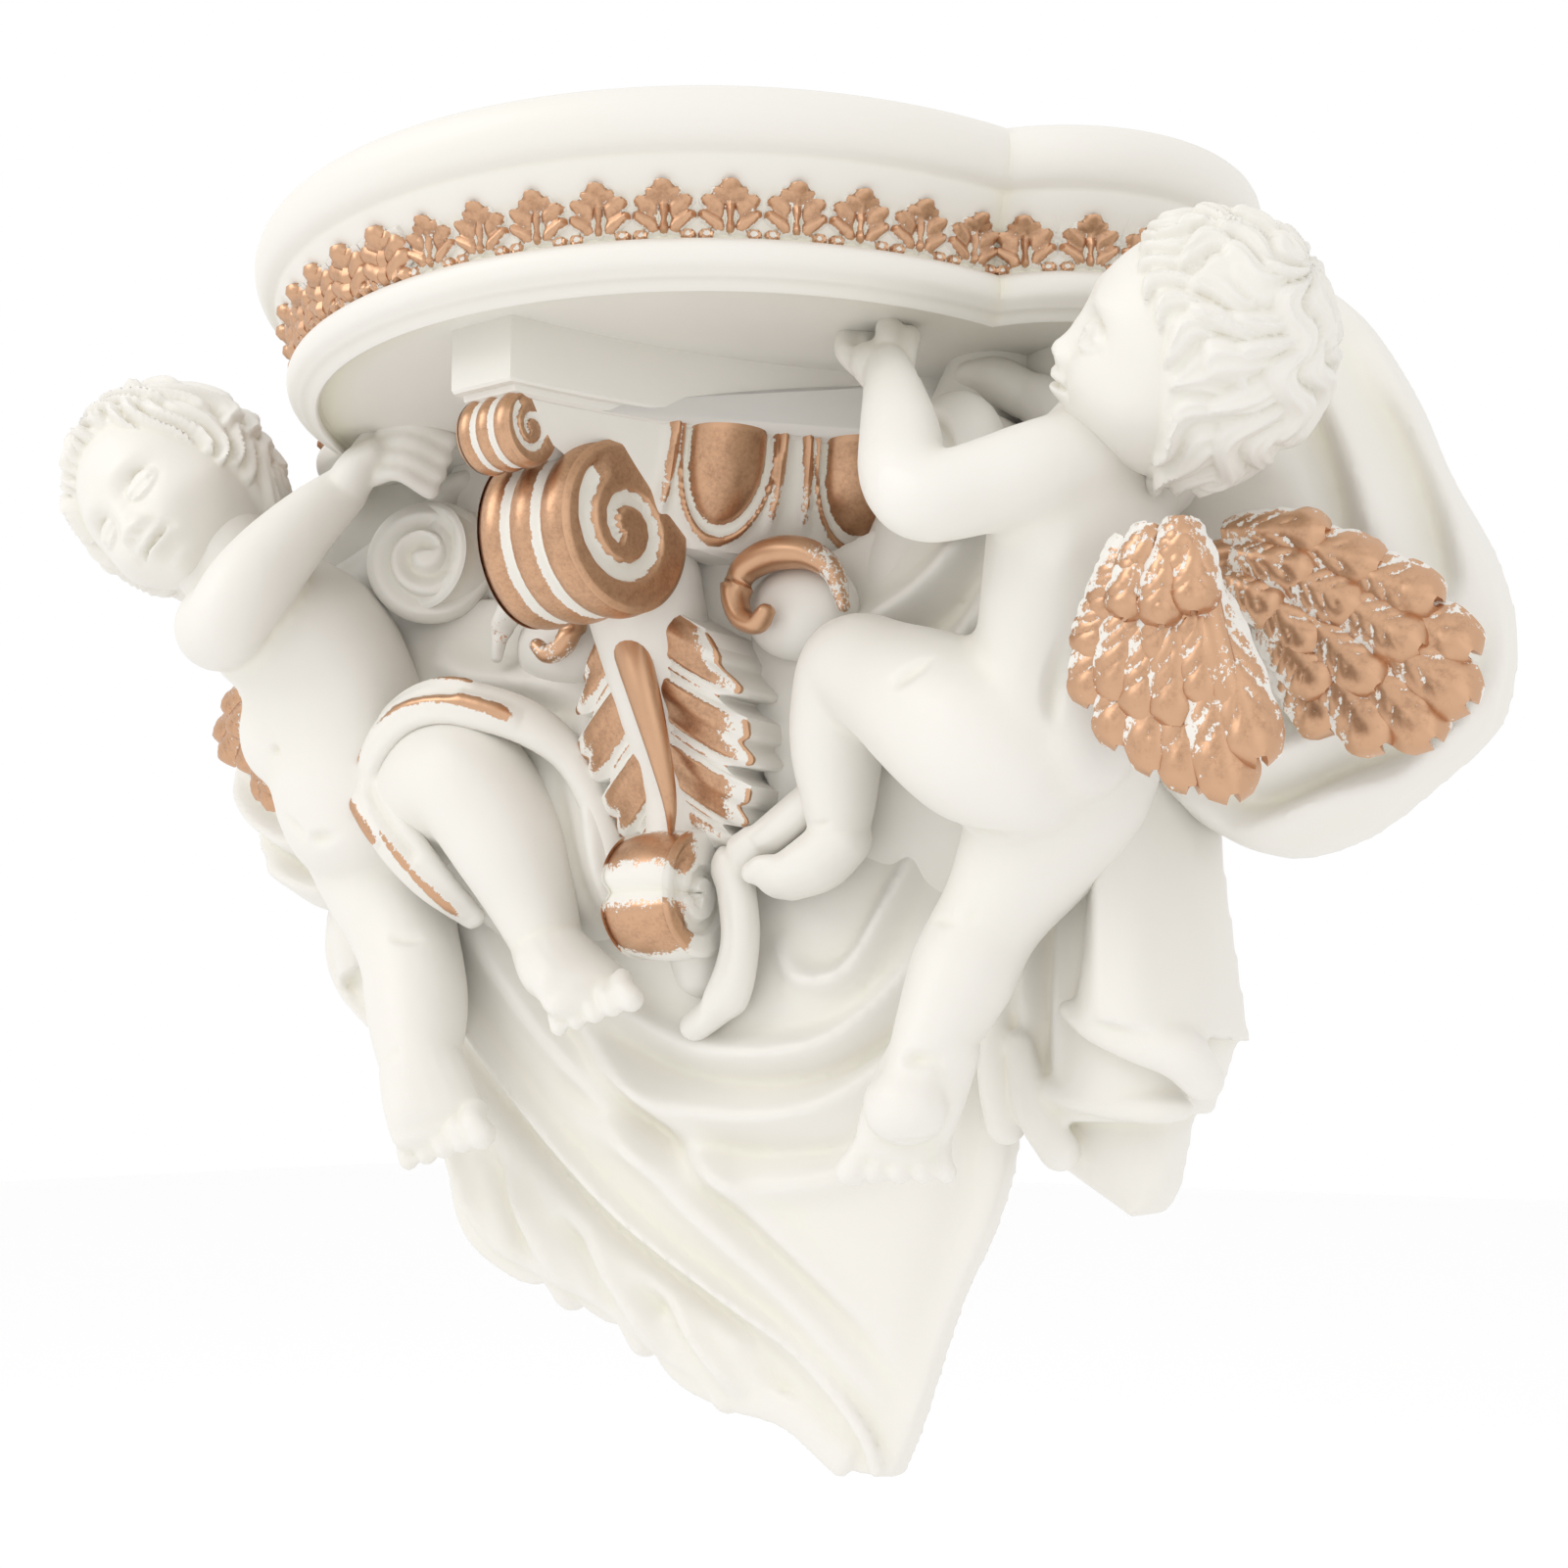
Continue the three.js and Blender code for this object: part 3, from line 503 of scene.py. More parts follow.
def shelf_plan(u, inset):
    """Plan of the shelf at `inset` from its rim: u runs from the right end of the wall to the left."""
    bow = BOW_RADIUS - inset
    lobe = LOBE_RADIUS - inset
    apart = math.hypot(LOBE_CENTRE_X, LOBE_CENTRE_Y - BOW_CENTRE_Y)
    lean = math.atan2(LOBE_CENTRE_Y - BOW_CENTRE_Y, LOBE_CENTRE_X)
    notch = lean - np.arccos((bow**2 + apart**2 - lobe**2) / (2 * bow * apart))
    meet_x = bow * np.cos(notch)
    meet_y = BOW_CENTRE_Y + bow * np.sin(notch)
    lobe_start = np.arcsin(-LOBE_CENTRE_Y / lobe)
    lobe_end = np.arctan2(meet_y - LOBE_CENTRE_Y, meet_x - LOBE_CENTRE_X)
    half = np.minimum(u, 1 - u)
    on_lobe = half < LOBE_SHARE
    a = lerp(lobe_start, lobe_end, np.clip(half / LOBE_SHARE, 0, 1))
    b = lerp(notch, -math.pi / 2, np.clip((half - LOBE_SHARE) / (0.5 - LOBE_SHARE), 0, 1))
    x = np.where(on_lobe, LOBE_CENTRE_X + lobe * np.cos(a), bow * np.cos(b))
    y = np.where(on_lobe, LOBE_CENTRE_Y + lobe * np.sin(a), BOW_CENTRE_Y + bow * np.sin(b))
    return np.where(u <= 0.5, x, -x), np.minimum(y, 0)


def profile_line(runs, steps):
    """(inset, z) along several mouldings, each smooth in itself with a crease to the next."""
    return np.vstack([smooth_path(run, steps) for run in runs])


def make_shelf():
    line = profile_line([RIM_PROFILE, COVE_PROFILE, TORUS_PROFILE, LIP_PROFILE], 15)
    line = np.vstack([[line[0], line[0]], line[1:-1], [line[-1], line[-1]]])
    line[:, 1] = np.minimum(line[:, 1], SHELF_TOP)
    rows = len(line) - 1
    pull = np.zeros(len(line))
    pull[[0, -1]] = 1

    def place(u, v):
        row = np.round(v * rows).astype(int)
        x, y = shelf_plan(u, line[row, 0])
        return np.stack([x, y * (1 - pull[row]), line[row, 1]], 1)

    obj = sheet(200, rows, place)
    select_only(obj)
    bpy.ops.object.mode_set(mode="EDIT")
    bpy.ops.mesh.select_all(action="SELECT")
    bpy.ops.mesh.remove_doubles(threshold=0.001)
    bpy.ops.mesh.select_all(action="DESELECT")
    bpy.ops.mesh.select_non_manifold()
    bpy.ops.mesh.edge_face_add()
    bpy.ops.object.mode_set(mode="OBJECT")
    obj.name = "shelf"
    settle(outward(obj), resin, angle=35)


def leaf_relief(x, z):
    """Height of one band leaf over its ground: x from -1 to 1, z from 0 at the foot to 1 at the curl."""
    side = np.abs(x)
    slant = z - 0.30 * side
    teeth = 0.5 + 0.5 * np.cos(2 * np.pi * 3.3 * (slant - 0.02))
    edge = 0.66 + 0.36 * ramp(z, 0.02, 0.45) - 0.42 * ramp(z, 0.66, 0.92) - 0.17 * teeth**3
    blade = ramp(edge - side, -0.03, 0.16) * ramp(z, 0.06, 0.16) * (1 - ramp(z, 0.84, 0.93))
    vein = 0.42 * np.cos(2 * np.pi * 3.3 * (slant + 0.13))
    height = blade * (2.3 + vein + 0.5 * side)
    rib = bell(side, 0, 0.09) * ramp(z, 0.03, 0.1) * (1 - ramp(z, 0.6, 0.75))
    gully = bell(side, 0.17, 0.05) * (1 - ramp(z, 0.5, 0.7)) * blade
    height += 1.2 * rib - 1.1 * gully
    curl_far = np.hypot((side - 0.72) / 0.26, (z - 0.09) / 0.12)
    height = np.maximum(height, 2.3 * ramp(1.15 - curl_far, 0, 0.4) - 1.3 * bell(curl_far, 0, 0.45))
    tip = np.hypot(side / 0.34, (z - 0.90) / 0.11)
    height = np.maximum(height, 4.0 * np.sqrt(np.clip(1 - tip**2, 0, 1)))
    veined = np.cos(2 * np.pi * 3.3 * (slant + 0.13))
    gilt = np.clip(0.86 * ramp(height, 0.9, 2.0) + 0.14 * veined * blade - 0.45 * gully
                   + 0.3 * ramp(height, 2.8, 3.8) - 0.4 * bell(curl_far, 0, 0.5), 0, 1)
    return height, gilt


def make_leaf_band():
    cove = profile_line([COVE_PROFILE], 40)

    def one(centre, ahead, out):
        def place(u, v):
            x, z = 2 * u - 1, 1 - v
            height, _ = leaf_relief(x, z)
            level = LEAF_BASE_Z + z * LEAF_HEIGHT
            inset = np.interp(-level, -cove[:, 1], cove[:, 0])
            push = LEAF_FACE_INSET - inset + height - 0.6
            along = 0.5 * LEAF_PITCH * x
            flat = centre + along[:, None] * ahead + push[:, None] * out
            return np.column_stack([flat, level])

        leaf = sheet(26, 24, place)
        start = places(leaf)
        rel = start[:, :2] - centre
        z = (start[:, 2] - LEAF_BASE_Z) / LEAF_HEIGHT
        note(leaf, "gilt", leaf_relief(2 * (rel @ ahead) / LEAF_PITCH, z)[1])
        return leaf

    leaves = []
    share = np.linspace(0.5, 0, 3000)
    x, y = shelf_plan(share, LEAF_FACE_INSET)
    gone = np.concatenate([[0], np.cumsum(np.hypot(np.diff(x), np.diff(y)))])
    count = int(gone[-1] // LEAF_PITCH)
    for k in range(count + 1):
        at = k * LEAF_PITCH
        cx, cy = np.interp(at, gone, x), np.interp(at, gone, y)
        if cy > -0.5 * LEAF_PITCH:
            continue
        dx = np.interp(at + 1, gone, x) - np.interp(at - 1, gone, x)
        dy = np.interp(at + 1, gone, y) - np.interp(at - 1, gone, y)
        ahead = unit([dx, dy])
        for side in (1, -1) if k else (1,):
            forward = np.array([side * ahead[0], ahead[1]])
            out = np.array([side * ahead[1], -ahead[0]])
            leaves.append(one(np.array([side * cx, cy]), forward, out))
    obj = join(leaves, "leaf_band")
    settle(thin(thicken(obj, 1.6), 54000), resin, reach=4, angle=50)


def abacus_line(inset=0.0, steps=60):
    """The abacus' right side from the front corner to the wall, `inset` from its edge."""
    start = np.array([ABACUS_CORNER / 2 - 0.4 * inset, ABACUS_FRONT_Y + inset])
    end = np.array([ABACUS_WALL_X - inset, 0.0])
    away = end - start
    inward = unit([-away[1], away[0]])
    t = np.linspace(0, 1, steps)[:, None]
    return start + away * t + inward * 4 * ABACUS_HOLLOW * t * (1 - t)


def abacus_place(u, inset):
    """Plan of the abacus: u from the wall at the right, round the front corner, to the wall at the left."""
    front = 0.06
    half = np.minimum(u, 1 - u)
    t = np.clip(1 - half / (0.5 - front), 0, 1)
    start_x = ABACUS_CORNER / 2 - 0.4 * inset
    start_y = ABACUS_FRONT_Y + inset
    end_x = ABACUS_WALL_X - inset
    length = np.hypot(end_x - start_x, start_y)
    hollow = 4 * ABACUS_HOLLOW * t * (1 - t)
    x = start_x + (end_x - start_x) * t + hollow * start_y / length
    y = start_y * (1 - t) + hollow * (end_x - start_x) / length
    ahead = np.clip((half - (0.5 - front)) / front, 0, 1)
    x = np.where(ahead > 0, start_x * (1 - ahead), x)
    return np.where(u <= 0.5, x, -x), np.minimum(y, 0)


def make_abacus():
    line = np.array([
        (6, ABACUS_TOP), (0.7, ABACUS_TOP), (0, ABACUS_TOP - 0.7), (0, ABACUS_BOTTOM + 0.8),
        (0.8, ABACUS_BOTTOM), (3.4, ABACUS_BOTTOM), (3.8, ABACUS_BOTTOM - 1.8), (5.2, ABACUS_BOTTOM - 2.6),
        (14, ABACUS_BOTTOM - 2.6),
    ])
    rows = len(line) - 1

    def place(u, v):
        row = np.round(v * rows).astype(int)
        x, y = abacus_place(u, line[row, 0])
        return np.stack([x, y, line[row, 1]], 1)

    obj = sheet(100, rows, place)
    select_only(obj)
    bpy.ops.object.mode_set(mode="EDIT")
    bpy.ops.mesh.select_all(action="DESELECT")
    bpy.ops.mesh.select_non_manifold()
    bpy.ops.mesh.edge_face_add()
    bpy.ops.object.mode_set(mode="OBJECT")
    obj.name = "abacus"
    settle(outward(obj), resin, angle=25)


# Eggs and the ribs of the darts, by distance along the side from the front corner.
EGGS = [67.5, 110]
RIBS = [50.5, 84.5, 92]
SIDE_LENGTH = 176
EGG_HALF = 11.8
EGG_DROP = 27
ECHINUS_DROP = 34


def echinus_relief(s, drop):
    height = np.zeros_like(s)
    gilt = np.zeros_like(s)
    for egg in EGGS:
        across = (s - egg) / EGG_HALF
        far = np.where(drop < 8, np.abs(across), np.hypot(across, (drop - 8) / (EGG_DROP - 8)))
        height = np.maximum(height, 7.0 * np.sqrt(np.clip(1 - far**2, 0, 1)))
        rim = bell(far, 1.24, 0.085)
        height = height + 2.4 * rim - 1.0 * bell(far, 1.08, 0.05)
        gilt = np.maximum(gilt, np.maximum(ramp(1.03 - far, 0.0, 0.04), 0.75 * ramp(rim, 0.35, 0.8)))
    for rib in RIBS:
        line = rib + 0.05 * drop * np.sign(rib - 88)
        ridge = bell(s, line, 2.0) * (1 - ramp(drop, 20, 32))
        height = np.maximum(height, 3.4 * ridge)
        gilt = np.maximum(gilt, ramp(ridge, 0.35, 0.65) * (1 - 0.62 * ramp(drop, 4, 24)))
    return height, gilt


def make_echinus():
    made = []
    for side in (1, -1):
        line = abacus_line(5.5, 200)
        gone = np.concatenate([[0], np.cumsum(np.linalg.norm(np.diff(line, axis=0), axis=1))])
        heading = unit(np.gradient(line, axis=0))
        out = np.stack([heading[:, 1], -heading[:, 0]], 1)

        shape = {}

        def place(u, v):
            s = u * 150 + 4
            drop = v * lerp(12, ECHINUS_DROP, ramp(s, 10, 46))
            height, shape["gilt"] = echinus_relief(s, drop)
            base = np.stack([np.interp(s, gone, line[:, k]) for k in range(2)], 1)
            face = np.stack([np.interp(s, gone, out[:, k]) for k in range(2)], 1)
            lean = -0.20 * drop - 0.006 * drop**2
            spot = base + face * (height + lean)[:, None]
            return np.column_stack([side * spot[:, 0], np.minimum(spot[:, 1], -0.1), ABACUS_BOTTOM - 1 - drop])

        obj = sheet(190, 46, place)
        note(obj, "gilt", shape["gilt"])
        made.append(back_to_wall(obj))
    settle(thin(join(made, "egg_and_dart"), 46000), resin, reach=4, angle=50)


def spiral_depth(y, z, radius, groove, turns=1.35, start=2.1):
    """Depth of the spiral groove sunk in a scroll's end, at y and z from its centre."""
    far = np.hypot(y, z) / radius
    angle = np.arctan2(z, y)
    depth = np.zeros_like(far)
    for lap in range(-1, 3):
        swept = angle - start + 2 * math.pi * lap
        share = swept / (2 * math.pi * turns)
        line = lerp(0.72, 0.17, np.clip(share, 0, 1) ** 0.85)
        width = lerp(0.13, 0.085, np.clip(share, 0, 1))
        inside = ramp(share, -0.02, 0.06) * (1 - ramp(share, 0.96, 1.02))
        depth = np.maximum(depth, inside * (1 - ramp(np.abs(far - line) / width, 0.55, 1.15)))
    return groove * depth


def scroll(radius, front, back, groove, ridges, gold=1.0, columns=96):
    """A drum across X with ridges round it and a spiral sunk in both ends, about the origin."""
    ends, band = 34, 12 * ridges + 8
    rows = 2 * ends + band

    def place(u, v):
        row = np.round(v * rows)
        turn = 2 * math.pi * u
        head = np.clip(row / ends, 0, 1)
        foot = np.clip((rows - row) / ends, 0, 1)
        cross = np.clip((row - ends) / band, 0, 1)
        wave = 0.5 - 0.5 * np.cos(2 * math.pi * ridges * cross)
        body = radius - groove * (1 - wave ** 0.45)
        body = body + groove * 0.7 * ((row <= ends) | (row >= rows - ends))
        r = body * np.minimum(head, foot)
        y, z = r * np.cos(turn), r * np.sin(turn)
        half = 0.5 * lerp(front, back, 0.5 + y / (2 * radius))
        sunk = spiral_depth(y, z, radius, groove)
        onface = (row <= ends) | (row >= rows - ends)
        soft = 1.2 * ramp(np.minimum(head, foot), 0.93, 1.0)
        x = (2 * cross - 1) * half
        x = np.where(row <= ends, -half + sunk + soft, np.where(row >= rows - ends, half - sunk - soft, x))
        return np.stack([x, y, z], 1)

    obj = sheet(columns, rows, place)
    points = places(obj)
    half = 0.5 * lerp(front, back, 0.5 + points[:, 1] / (2 * radius))
    sunk = spiral_depth(points[:, 1], points[:, 2], radius, 1.0)
    onface = np.abs(points[:, 0]) > half - groove - 2.2
    far = np.hypot(points[:, 1], points[:, 2])
    cross = np.clip(points[:, 0] / half * 0.5 + 0.5, 0, 1)
    high = ramp(0.5 - 0.5 * np.cos(2 * math.pi * ridges * cross), 0.12, 0.4)
    high = np.where((cross < 0.5 / ridges) | (cross > 1 - 0.5 / ridges), 1, high)
    gilt = np.where(onface & (far < radius - 1.6), 1 - ramp(sunk, 0.3, 0.7), high)
    note(obj, "gilt", gold * gilt)
    select_only(obj)
    bpy.ops.object.mode_set(mode="EDIT")
    bpy.ops.mesh.select_all(action="SELECT")
    bpy.ops.mesh.remove_doubles(threshold=0.01)
    bpy.ops.object.mode_set(mode="OBJECT")
    return outward(obj)


def shifted(obj, x, y, z, turn=0.0):
    points = places(obj)
    c, s = math.cos(turn), math.sin(turn)
    flat = np.stack([points[:, 0] * c - points[:, 1] * s, points[:, 0] * s + points[:, 1] * c], 1)
    put(obj, np.column_stack([flat + [x, y], points[:, 2] + z]))
    return obj


def make_scrolls():
    top_z = ABACUS_BOTTOM - TOP_SCROLL_RADIUS + 0.5
    large = shifted(scroll(SCROLL_RADIUS, SCROLL_FRONT, SCROLL_BACK, 2.6, 3, columns=170), 0, SCROLL_Y, SCROLL_Z)
    small = shifted(scroll(TOP_SCROLL_RADIUS, TOP_SCROLL_WIDTH, TOP_SCROLL_WIDTH, 1.5, 3, columns=64),
                    0, TOP_SCROLL_Y, top_z)
    obj = join([large, small], "front_scrolls")
    settle(thin(obj, 44000), resin, reach=5, angle=50)
    made = []
    for side in (1, -1):
        drum = scroll(SIDE_SCROLL_RADIUS, 116, 116, 2.6, 2, gold=0.0, columns=96)
        made.append(shifted(drum, side * SIDE_SCROLL_X, 0, SIDE_SCROLL_Z, turn=-side * math.pi / 2))
        made.append(gilded(shell(side), 0.0))
    obj = trim_at_wall(join(made, "side_scrolls"))
    settle(thin(obj, 30000), resin, reach=5, angle=50)


def shell(side):
    """The puffed end of a side scroll: a low dome with one deep spiral turning into a raised eye."""
    facing = unit(np.array([-side * 0.5, -0.85, -0.15]))
    turn = axes((0, 0, 1), facing)
    dome = ball((0, 0, 0), [22, 13, 21], segments=120)
    points, out = places(dome), normals(dome)
    sweep = np.linspace(0, 2.05 * 2 * math.pi, 60)
    reach = lerp(1.04, 0.14, (sweep / sweep[-1]) ** 0.7)
    path = [[side * 22 * r * math.cos(a + 2.4), -13 * math.sqrt(max(1 - r * r, 0)), 21 * r * math.sin(a + 2.4)]
            for a, r in zip(sweep, reach)]
    stroke(points, out, np.array(path), 4.0, -4.2, taper=0.08)
    put(dome, points @ turn.T + np.array([side * 101, -52, -10]))
    return dome


def trim_at_wall(obj):
    """Flattens whatever reaches past the wall onto its plane."""
    points = places(obj)
    points[:, 1] = np.minimum(points[:, 1], 0)
    put(obj, points)
    return obj


# Poses of the right-hand figure, [x, y, z, half width, half depth]; the left-hand one is mirrored.
SHARED_POSE = {
    "torso": [
        [124, -46, -112, 16, 15], [129, -51, -101, 27, 23], [134, -57, -86, 30, 25], [139, -62, -68, 25.5, 21],
        [145, -67, -52, 27, 21], [151, -71, -37, 29.5, 21], [157, -75, -24, 25, 17], [165, -79, -12, 14, 12],
    ],
    "near_arm": [
        [157, -88, -27, 13.5], [149, -99, -32, 13.2], [140, -108, -36, 12], [130, -116, -39, 11.2],
        [122, -113, -31, 11.6], [115, -103, -17, 11], [106, -91, -2, 9], [97, -80, 12, 6.8],
    ],
    "far_arm": [[162, -50, -22, 13], [150, -40, -12, 12], [138, -35, -2, 10.5], [124, -33, 8, 9], [114, -33, 14, 7]],
    "straight_leg": [
        [136, -46, -92, 24], [130, -45, -104, 24], [121, -45, -119, 20.5], [111, -47, -135, 15.5],
        [106, -49, -144, 14.8], [103, -53, -154, 15], [100, -59, -166, 12.6], [97, -65, -178, 9.8],
    ],
    }
RIGHT_POSE = {
    **SHARED_POSE,
    "side": 1,
    "straight_foot": [[99, -60, -174, 12, 11.5], [94, -61, -185, 13, 12], [90, -61, -194, 13, 9.5], [89, -61, -200, 13.5, 6]],
    "foot_across": (0.82, 0.57, 0.1),
    "head_at": [190, -88, -3],
    "head_scale": 1.03,
    "long": 0.24,
    "neck": 13,
    "head_up": [0.6, -0.38, 0.7],
    "head_face": [-0.78, -0.58, 0.26],
    "bent_leg": [
        [128, -64, -97, 24], [118, -69, -91, 24], [104, -69, -82, 21.5], [88, -66, -73, 17.5], [74, -62, -67, 15.5],
        [66, -57, -76, 14.2], [62, -52, -88, 13.8], [60, -48, -101, 11.5], [58, -45, -112, 9],
    ],
    "bent_foot": [[59, -45, -113, 9.3, 9], [51, -45, -119, 11, 9], [42, -46, -123, 10.5, 7], [37, -46, -124, 9.5, 5.5]],
    "near_hand": [[98, -81, 8, 7.4, 6.4], [94, -78, 13, 8.8, 6.2], [91, -75, 17, 8.4, 5]],
    "far_hand": [[115, -33, 13, 7.5, 7], [106, -34, 19, 9, 7], [99, -36, 21, 7, 5]],
    "digits": [
        (([76, -67, -206.5], [100, -57, -207]), ([80, -64, -198], [98, -56, -198]), [4.0, 3.3, 3.1, 2.9, 2.7], (0, -1, -1)),
        (([32, -52, -122], [33, -40, -126]), ([41, -53, -120], [41, -40, -122]), [3.1, 2.6, 2.4, 2.3, 2.1], (0, -1, 1)),
        (([79, -72, 26.5], [87, -64, 27]), ([87, -79, 14], [93, -71, 17]), [3.3, 3.2, 3.0], (-1.5, -1.4, 0)),
        (([94, -74, 25], [98, -70, 23]), ([97, -79, 13], [99, -74, 13]), [3.6, 3.2], (0.5, -1, 0)),
    ],
    "bulges": [
        ([116, -62, -88], [20, 22, 18]), ([137, -76, -60], [10, 8, 14]), ([151, -90, -46], [11, 9, 13]),
        ([146, -66, -92], [16, 16, 19]), ([94, -68, -189], [12.5, 11, 11]),
    ],
}
LEFT_POSE = {
    **SHARED_POSE,
    "side": -1,
    "torso": [
        [120, -46, -112, 16, 18], [122, -51, -101, 27, 28], [125, -57, -86, 29, 31], [128, -61, -68, 27, 29],
        [132, -66, -52, 27, 29], [139, -70, -37, 29, 28], [149, -75, -24, 25, 22], [163, -79, -12, 15, 13],
    ],
    "near_arm": [
        [157, -86, -27, 15.5], [151, -97, -33, 15.5], [143, -106, -37, 14.4], [133, -112, -37, 13.4],
        [127, -109, -27, 14], [122, -101, -14, 13], [116, -92, -1, 10.8], [110, -84, 9, 8.6],
    ],
    "straight_leg": [
        [136, -46, -92, 24], [130, -45, -104, 24.5], [122, -46, -119, 22], [113, -48, -135, 18],
        [107, -50, -146, 17], [102, -53, -157, 17], [97, -57, -168, 15.5], [93, -60, -177, 13.4],
    ],
    "straight_foot": [[92, -60, -179, 14, 13], [88, -61, -187, 15, 11], [84, -62, -193, 15.5, 8.5], [82, -62, -197, 15.5, 6]],
    "foot_across": (0.82, -0.57, 0.1),
    "head_at": [188, -89, 18],
    "head_scale": 1.23,
    "long": 0.06,
    "neck": 19,
    "head_up": [0.60, -0.34, 0.72],
    "head_face": [-0.16, -0.93, -0.3],
    "bent_leg": [
        [120, -46, -98, 24], [106, -50, -93, 23.5], [92, -57, -89, 22], [80, -63, -86, 20.5], [70, -65, -88, 20],
        [64, -62, -97, 19.5], [58, -58, -110, 18], [53, -53, -126, 14.5], [48, -50, -141, 11.4],
    ],
    "bent_foot": [[48, -50, -142, 12, 11.5], [39, -54, -148, 14, 10.5], [30, -56, -153, 14.5, 8], [26, -57, -157, 14, 6]],
    "near_hand": [[110, -84, 9, 9, 7.4], [104, -83, 16, 10.5, 7], [99, -81, 20, 10.5, 5.6]],
    "far_hand": [[115, -33, 13, 7.5, 7], [106, -34, 19, 9, 7], [99, -36, 21, 7, 5]],
    "digits": [
        (([66, -60, -199.5], [91, -66, -208]), ([71, -57, -192], [94, -62, -200]), [4.3, 3.5, 3.3, 3.1, 2.8], (0, -2.4, 0)),
        (([9, -57, -158.5], [33, -62, -167]), ([15, -54, -152], [36, -59, -159]), [3.6, 3.0, 2.8, 2.6, 2.4], (0, -1.6, 0)),
        (([80, -68, 25], [86, -69, 9]), ([95, -81, 27], [101, -81, 12]), [3.4, 3.5, 3.4, 3.0], (-3, -4.4, 2.5)),
        (([97, -74, 33], [96, -74, 32]), ([105, -83, 22], [104, -83, 21]), [3.2, 3.2], (0, -1, 1)),
    ],
    "bulges": [
        ([143, -77, -66], [18, 12, 20]), ([150, -86, -40], [16, 9, 13]),
    ],
}

HEAD_DEPTH = 27


def digit_row(tips, roots, radii, bend):
    """Fingers or toes, one limb from each root to its tip, bent the same way."""
    made = []
    for tip, root, radius in zip(tips, roots, radii):
        tip, root = np.array(tip, float), np.array(root, float)
        middle = 0.5 * (tip + root) + np.asarray(bend, float)
        joints = [[*root, radius * 0.92], [*middle, radius * 1.0], [*tip, radius * 1.14]]
        made.append(limb(joints, across=(0.7, 0.5, 0.5), around=12, per=5))
    return made


def spread(first, last, count):
    return [lerp(np.array(first, float), np.array(last, float), k / (count - 1)) for k in range(count)]


def mirrored(obj, side):
    if side < 0:
        put(obj, places(obj) * [-1, 1, 1])
    return outward(obj)


def make_body(pose, name):
    """Torso, neck and limbs melted together, then hands, feet and digits, then the creases."""
    neck_top = lerp(np.array([165, -79, -12.0]), np.array(pose["head_at"], float), 0.62)
    shapes = [
        limb(pose["torso"], across=(0.1, 1, 0.1), around=28),
        limb([[161, -77, -20, pose["neck"]], [166, -80, -10, pose["neck"]], [*neck_top, pose["neck"]]]),
        limb(pose["near_arm"]),
        limb(pose["far_arm"]),
        limb(pose["straight_leg"], around=24),
        limb(pose["bent_leg"], around=24),
    ]
    shapes += [ball(at, size) for at, size in pose["bulges"]]
    body = fuse(shapes, name, 2.0, 9)
    apply_modifier(body, "SUBSURF", levels=1, render_levels=1)
    parts = [
        body,
        limb(pose["near_hand"], across=(1, 1, 0)),
        limb(pose["far_hand"]),
        limb(pose["straight_foot"], across=pose["foot_across"]),
        limb(pose["bent_foot"], across=(0.82, -0.57, 0.1) if pose["side"] < 0 else (0.5, -0.8, 0.3)),
    ]
    for tips, roots, radii, bend in pose["digits"]:
        parts += digit_row(spread(*tips, len(radii)), spread(*roots, len(radii)), radii, bend)
    obj = fuse(parts, name, 1.0, 3)
    points, out = places(obj), normals(obj)
    for path, width, depth in BODY_CREASES[pose["side"]]:
        stroke(points, out, smooth_path(path), width, depth)
    put(obj, points)
    mirrored(obj, pose["side"])
    trim_at_wall(obj)
    settle(thin(obj, 86000), resin, reach=14, angle=60)


# Creases of the plump limbs: path, half width, depth; positive swells the flesh beside them.
BODY_CREASES = {
    1: [
        ([[134, -92, -58], [130, -98, -50], [131, -104, -40]], 2.6, -1.4),
        ([[146, -62, -106], [134, -69, -113], [120, -70, -116], [105, -68, -111]], 5.5, -3.6),
        ([[153, -82, -60], [148, -80, -74], [146, -80, -88], [148, -72, -100]], 4.5, -2.6),
        ([[106, -68, -177], [95, -78, -176], [84, -72, -175]], 3.4, -2.4),
        ([[104, -66, -199], [94, -74, -201], [82, -72, -201]], 3.4, -2.4),
        ([[117, -88, -66], [112, -90, -74], [104, -89, -80]], 4, -1.6),
        ([[114, -62, -137], [108, -65, -140], [98, -62, -138]], 2.6, -1.2),
        ([[104, -74, -170], [97, -76, -172], [90, -72, -172]], 2.2, -1.0),
        ([[66, -60, -108], [60, -56, -110], [52, -52, -108]], 2.0, -0.9),
        ([[104, -92, 0], [110, -88, 3], [108, -82, 6]], 2.0, -0.8),
    ],
    -1: [
        ([[128, -86, -108], [118, -78, -104], [108, -74, -98]], 4, -1.8),
        ([[150, -78, -92], [138, -84, -97], [126, -80, -104]], 4, -1.2),
        ([[104, -64, -137], [98, -62, -138], [92, -58, -136]], 2.6, -1.0),
        ([[104, -74, -172], [97, -76, -174], [90, -72, -174]], 2.2, -1.0),
        ([[56, -60, -136], [48, -60, -138], [42, -54, -136]], 2.0, -0.9),
        ([[136, -84, -73], [136, -86, -75], [136, -84, -77]], 2.4, -2.0),
    ],
}


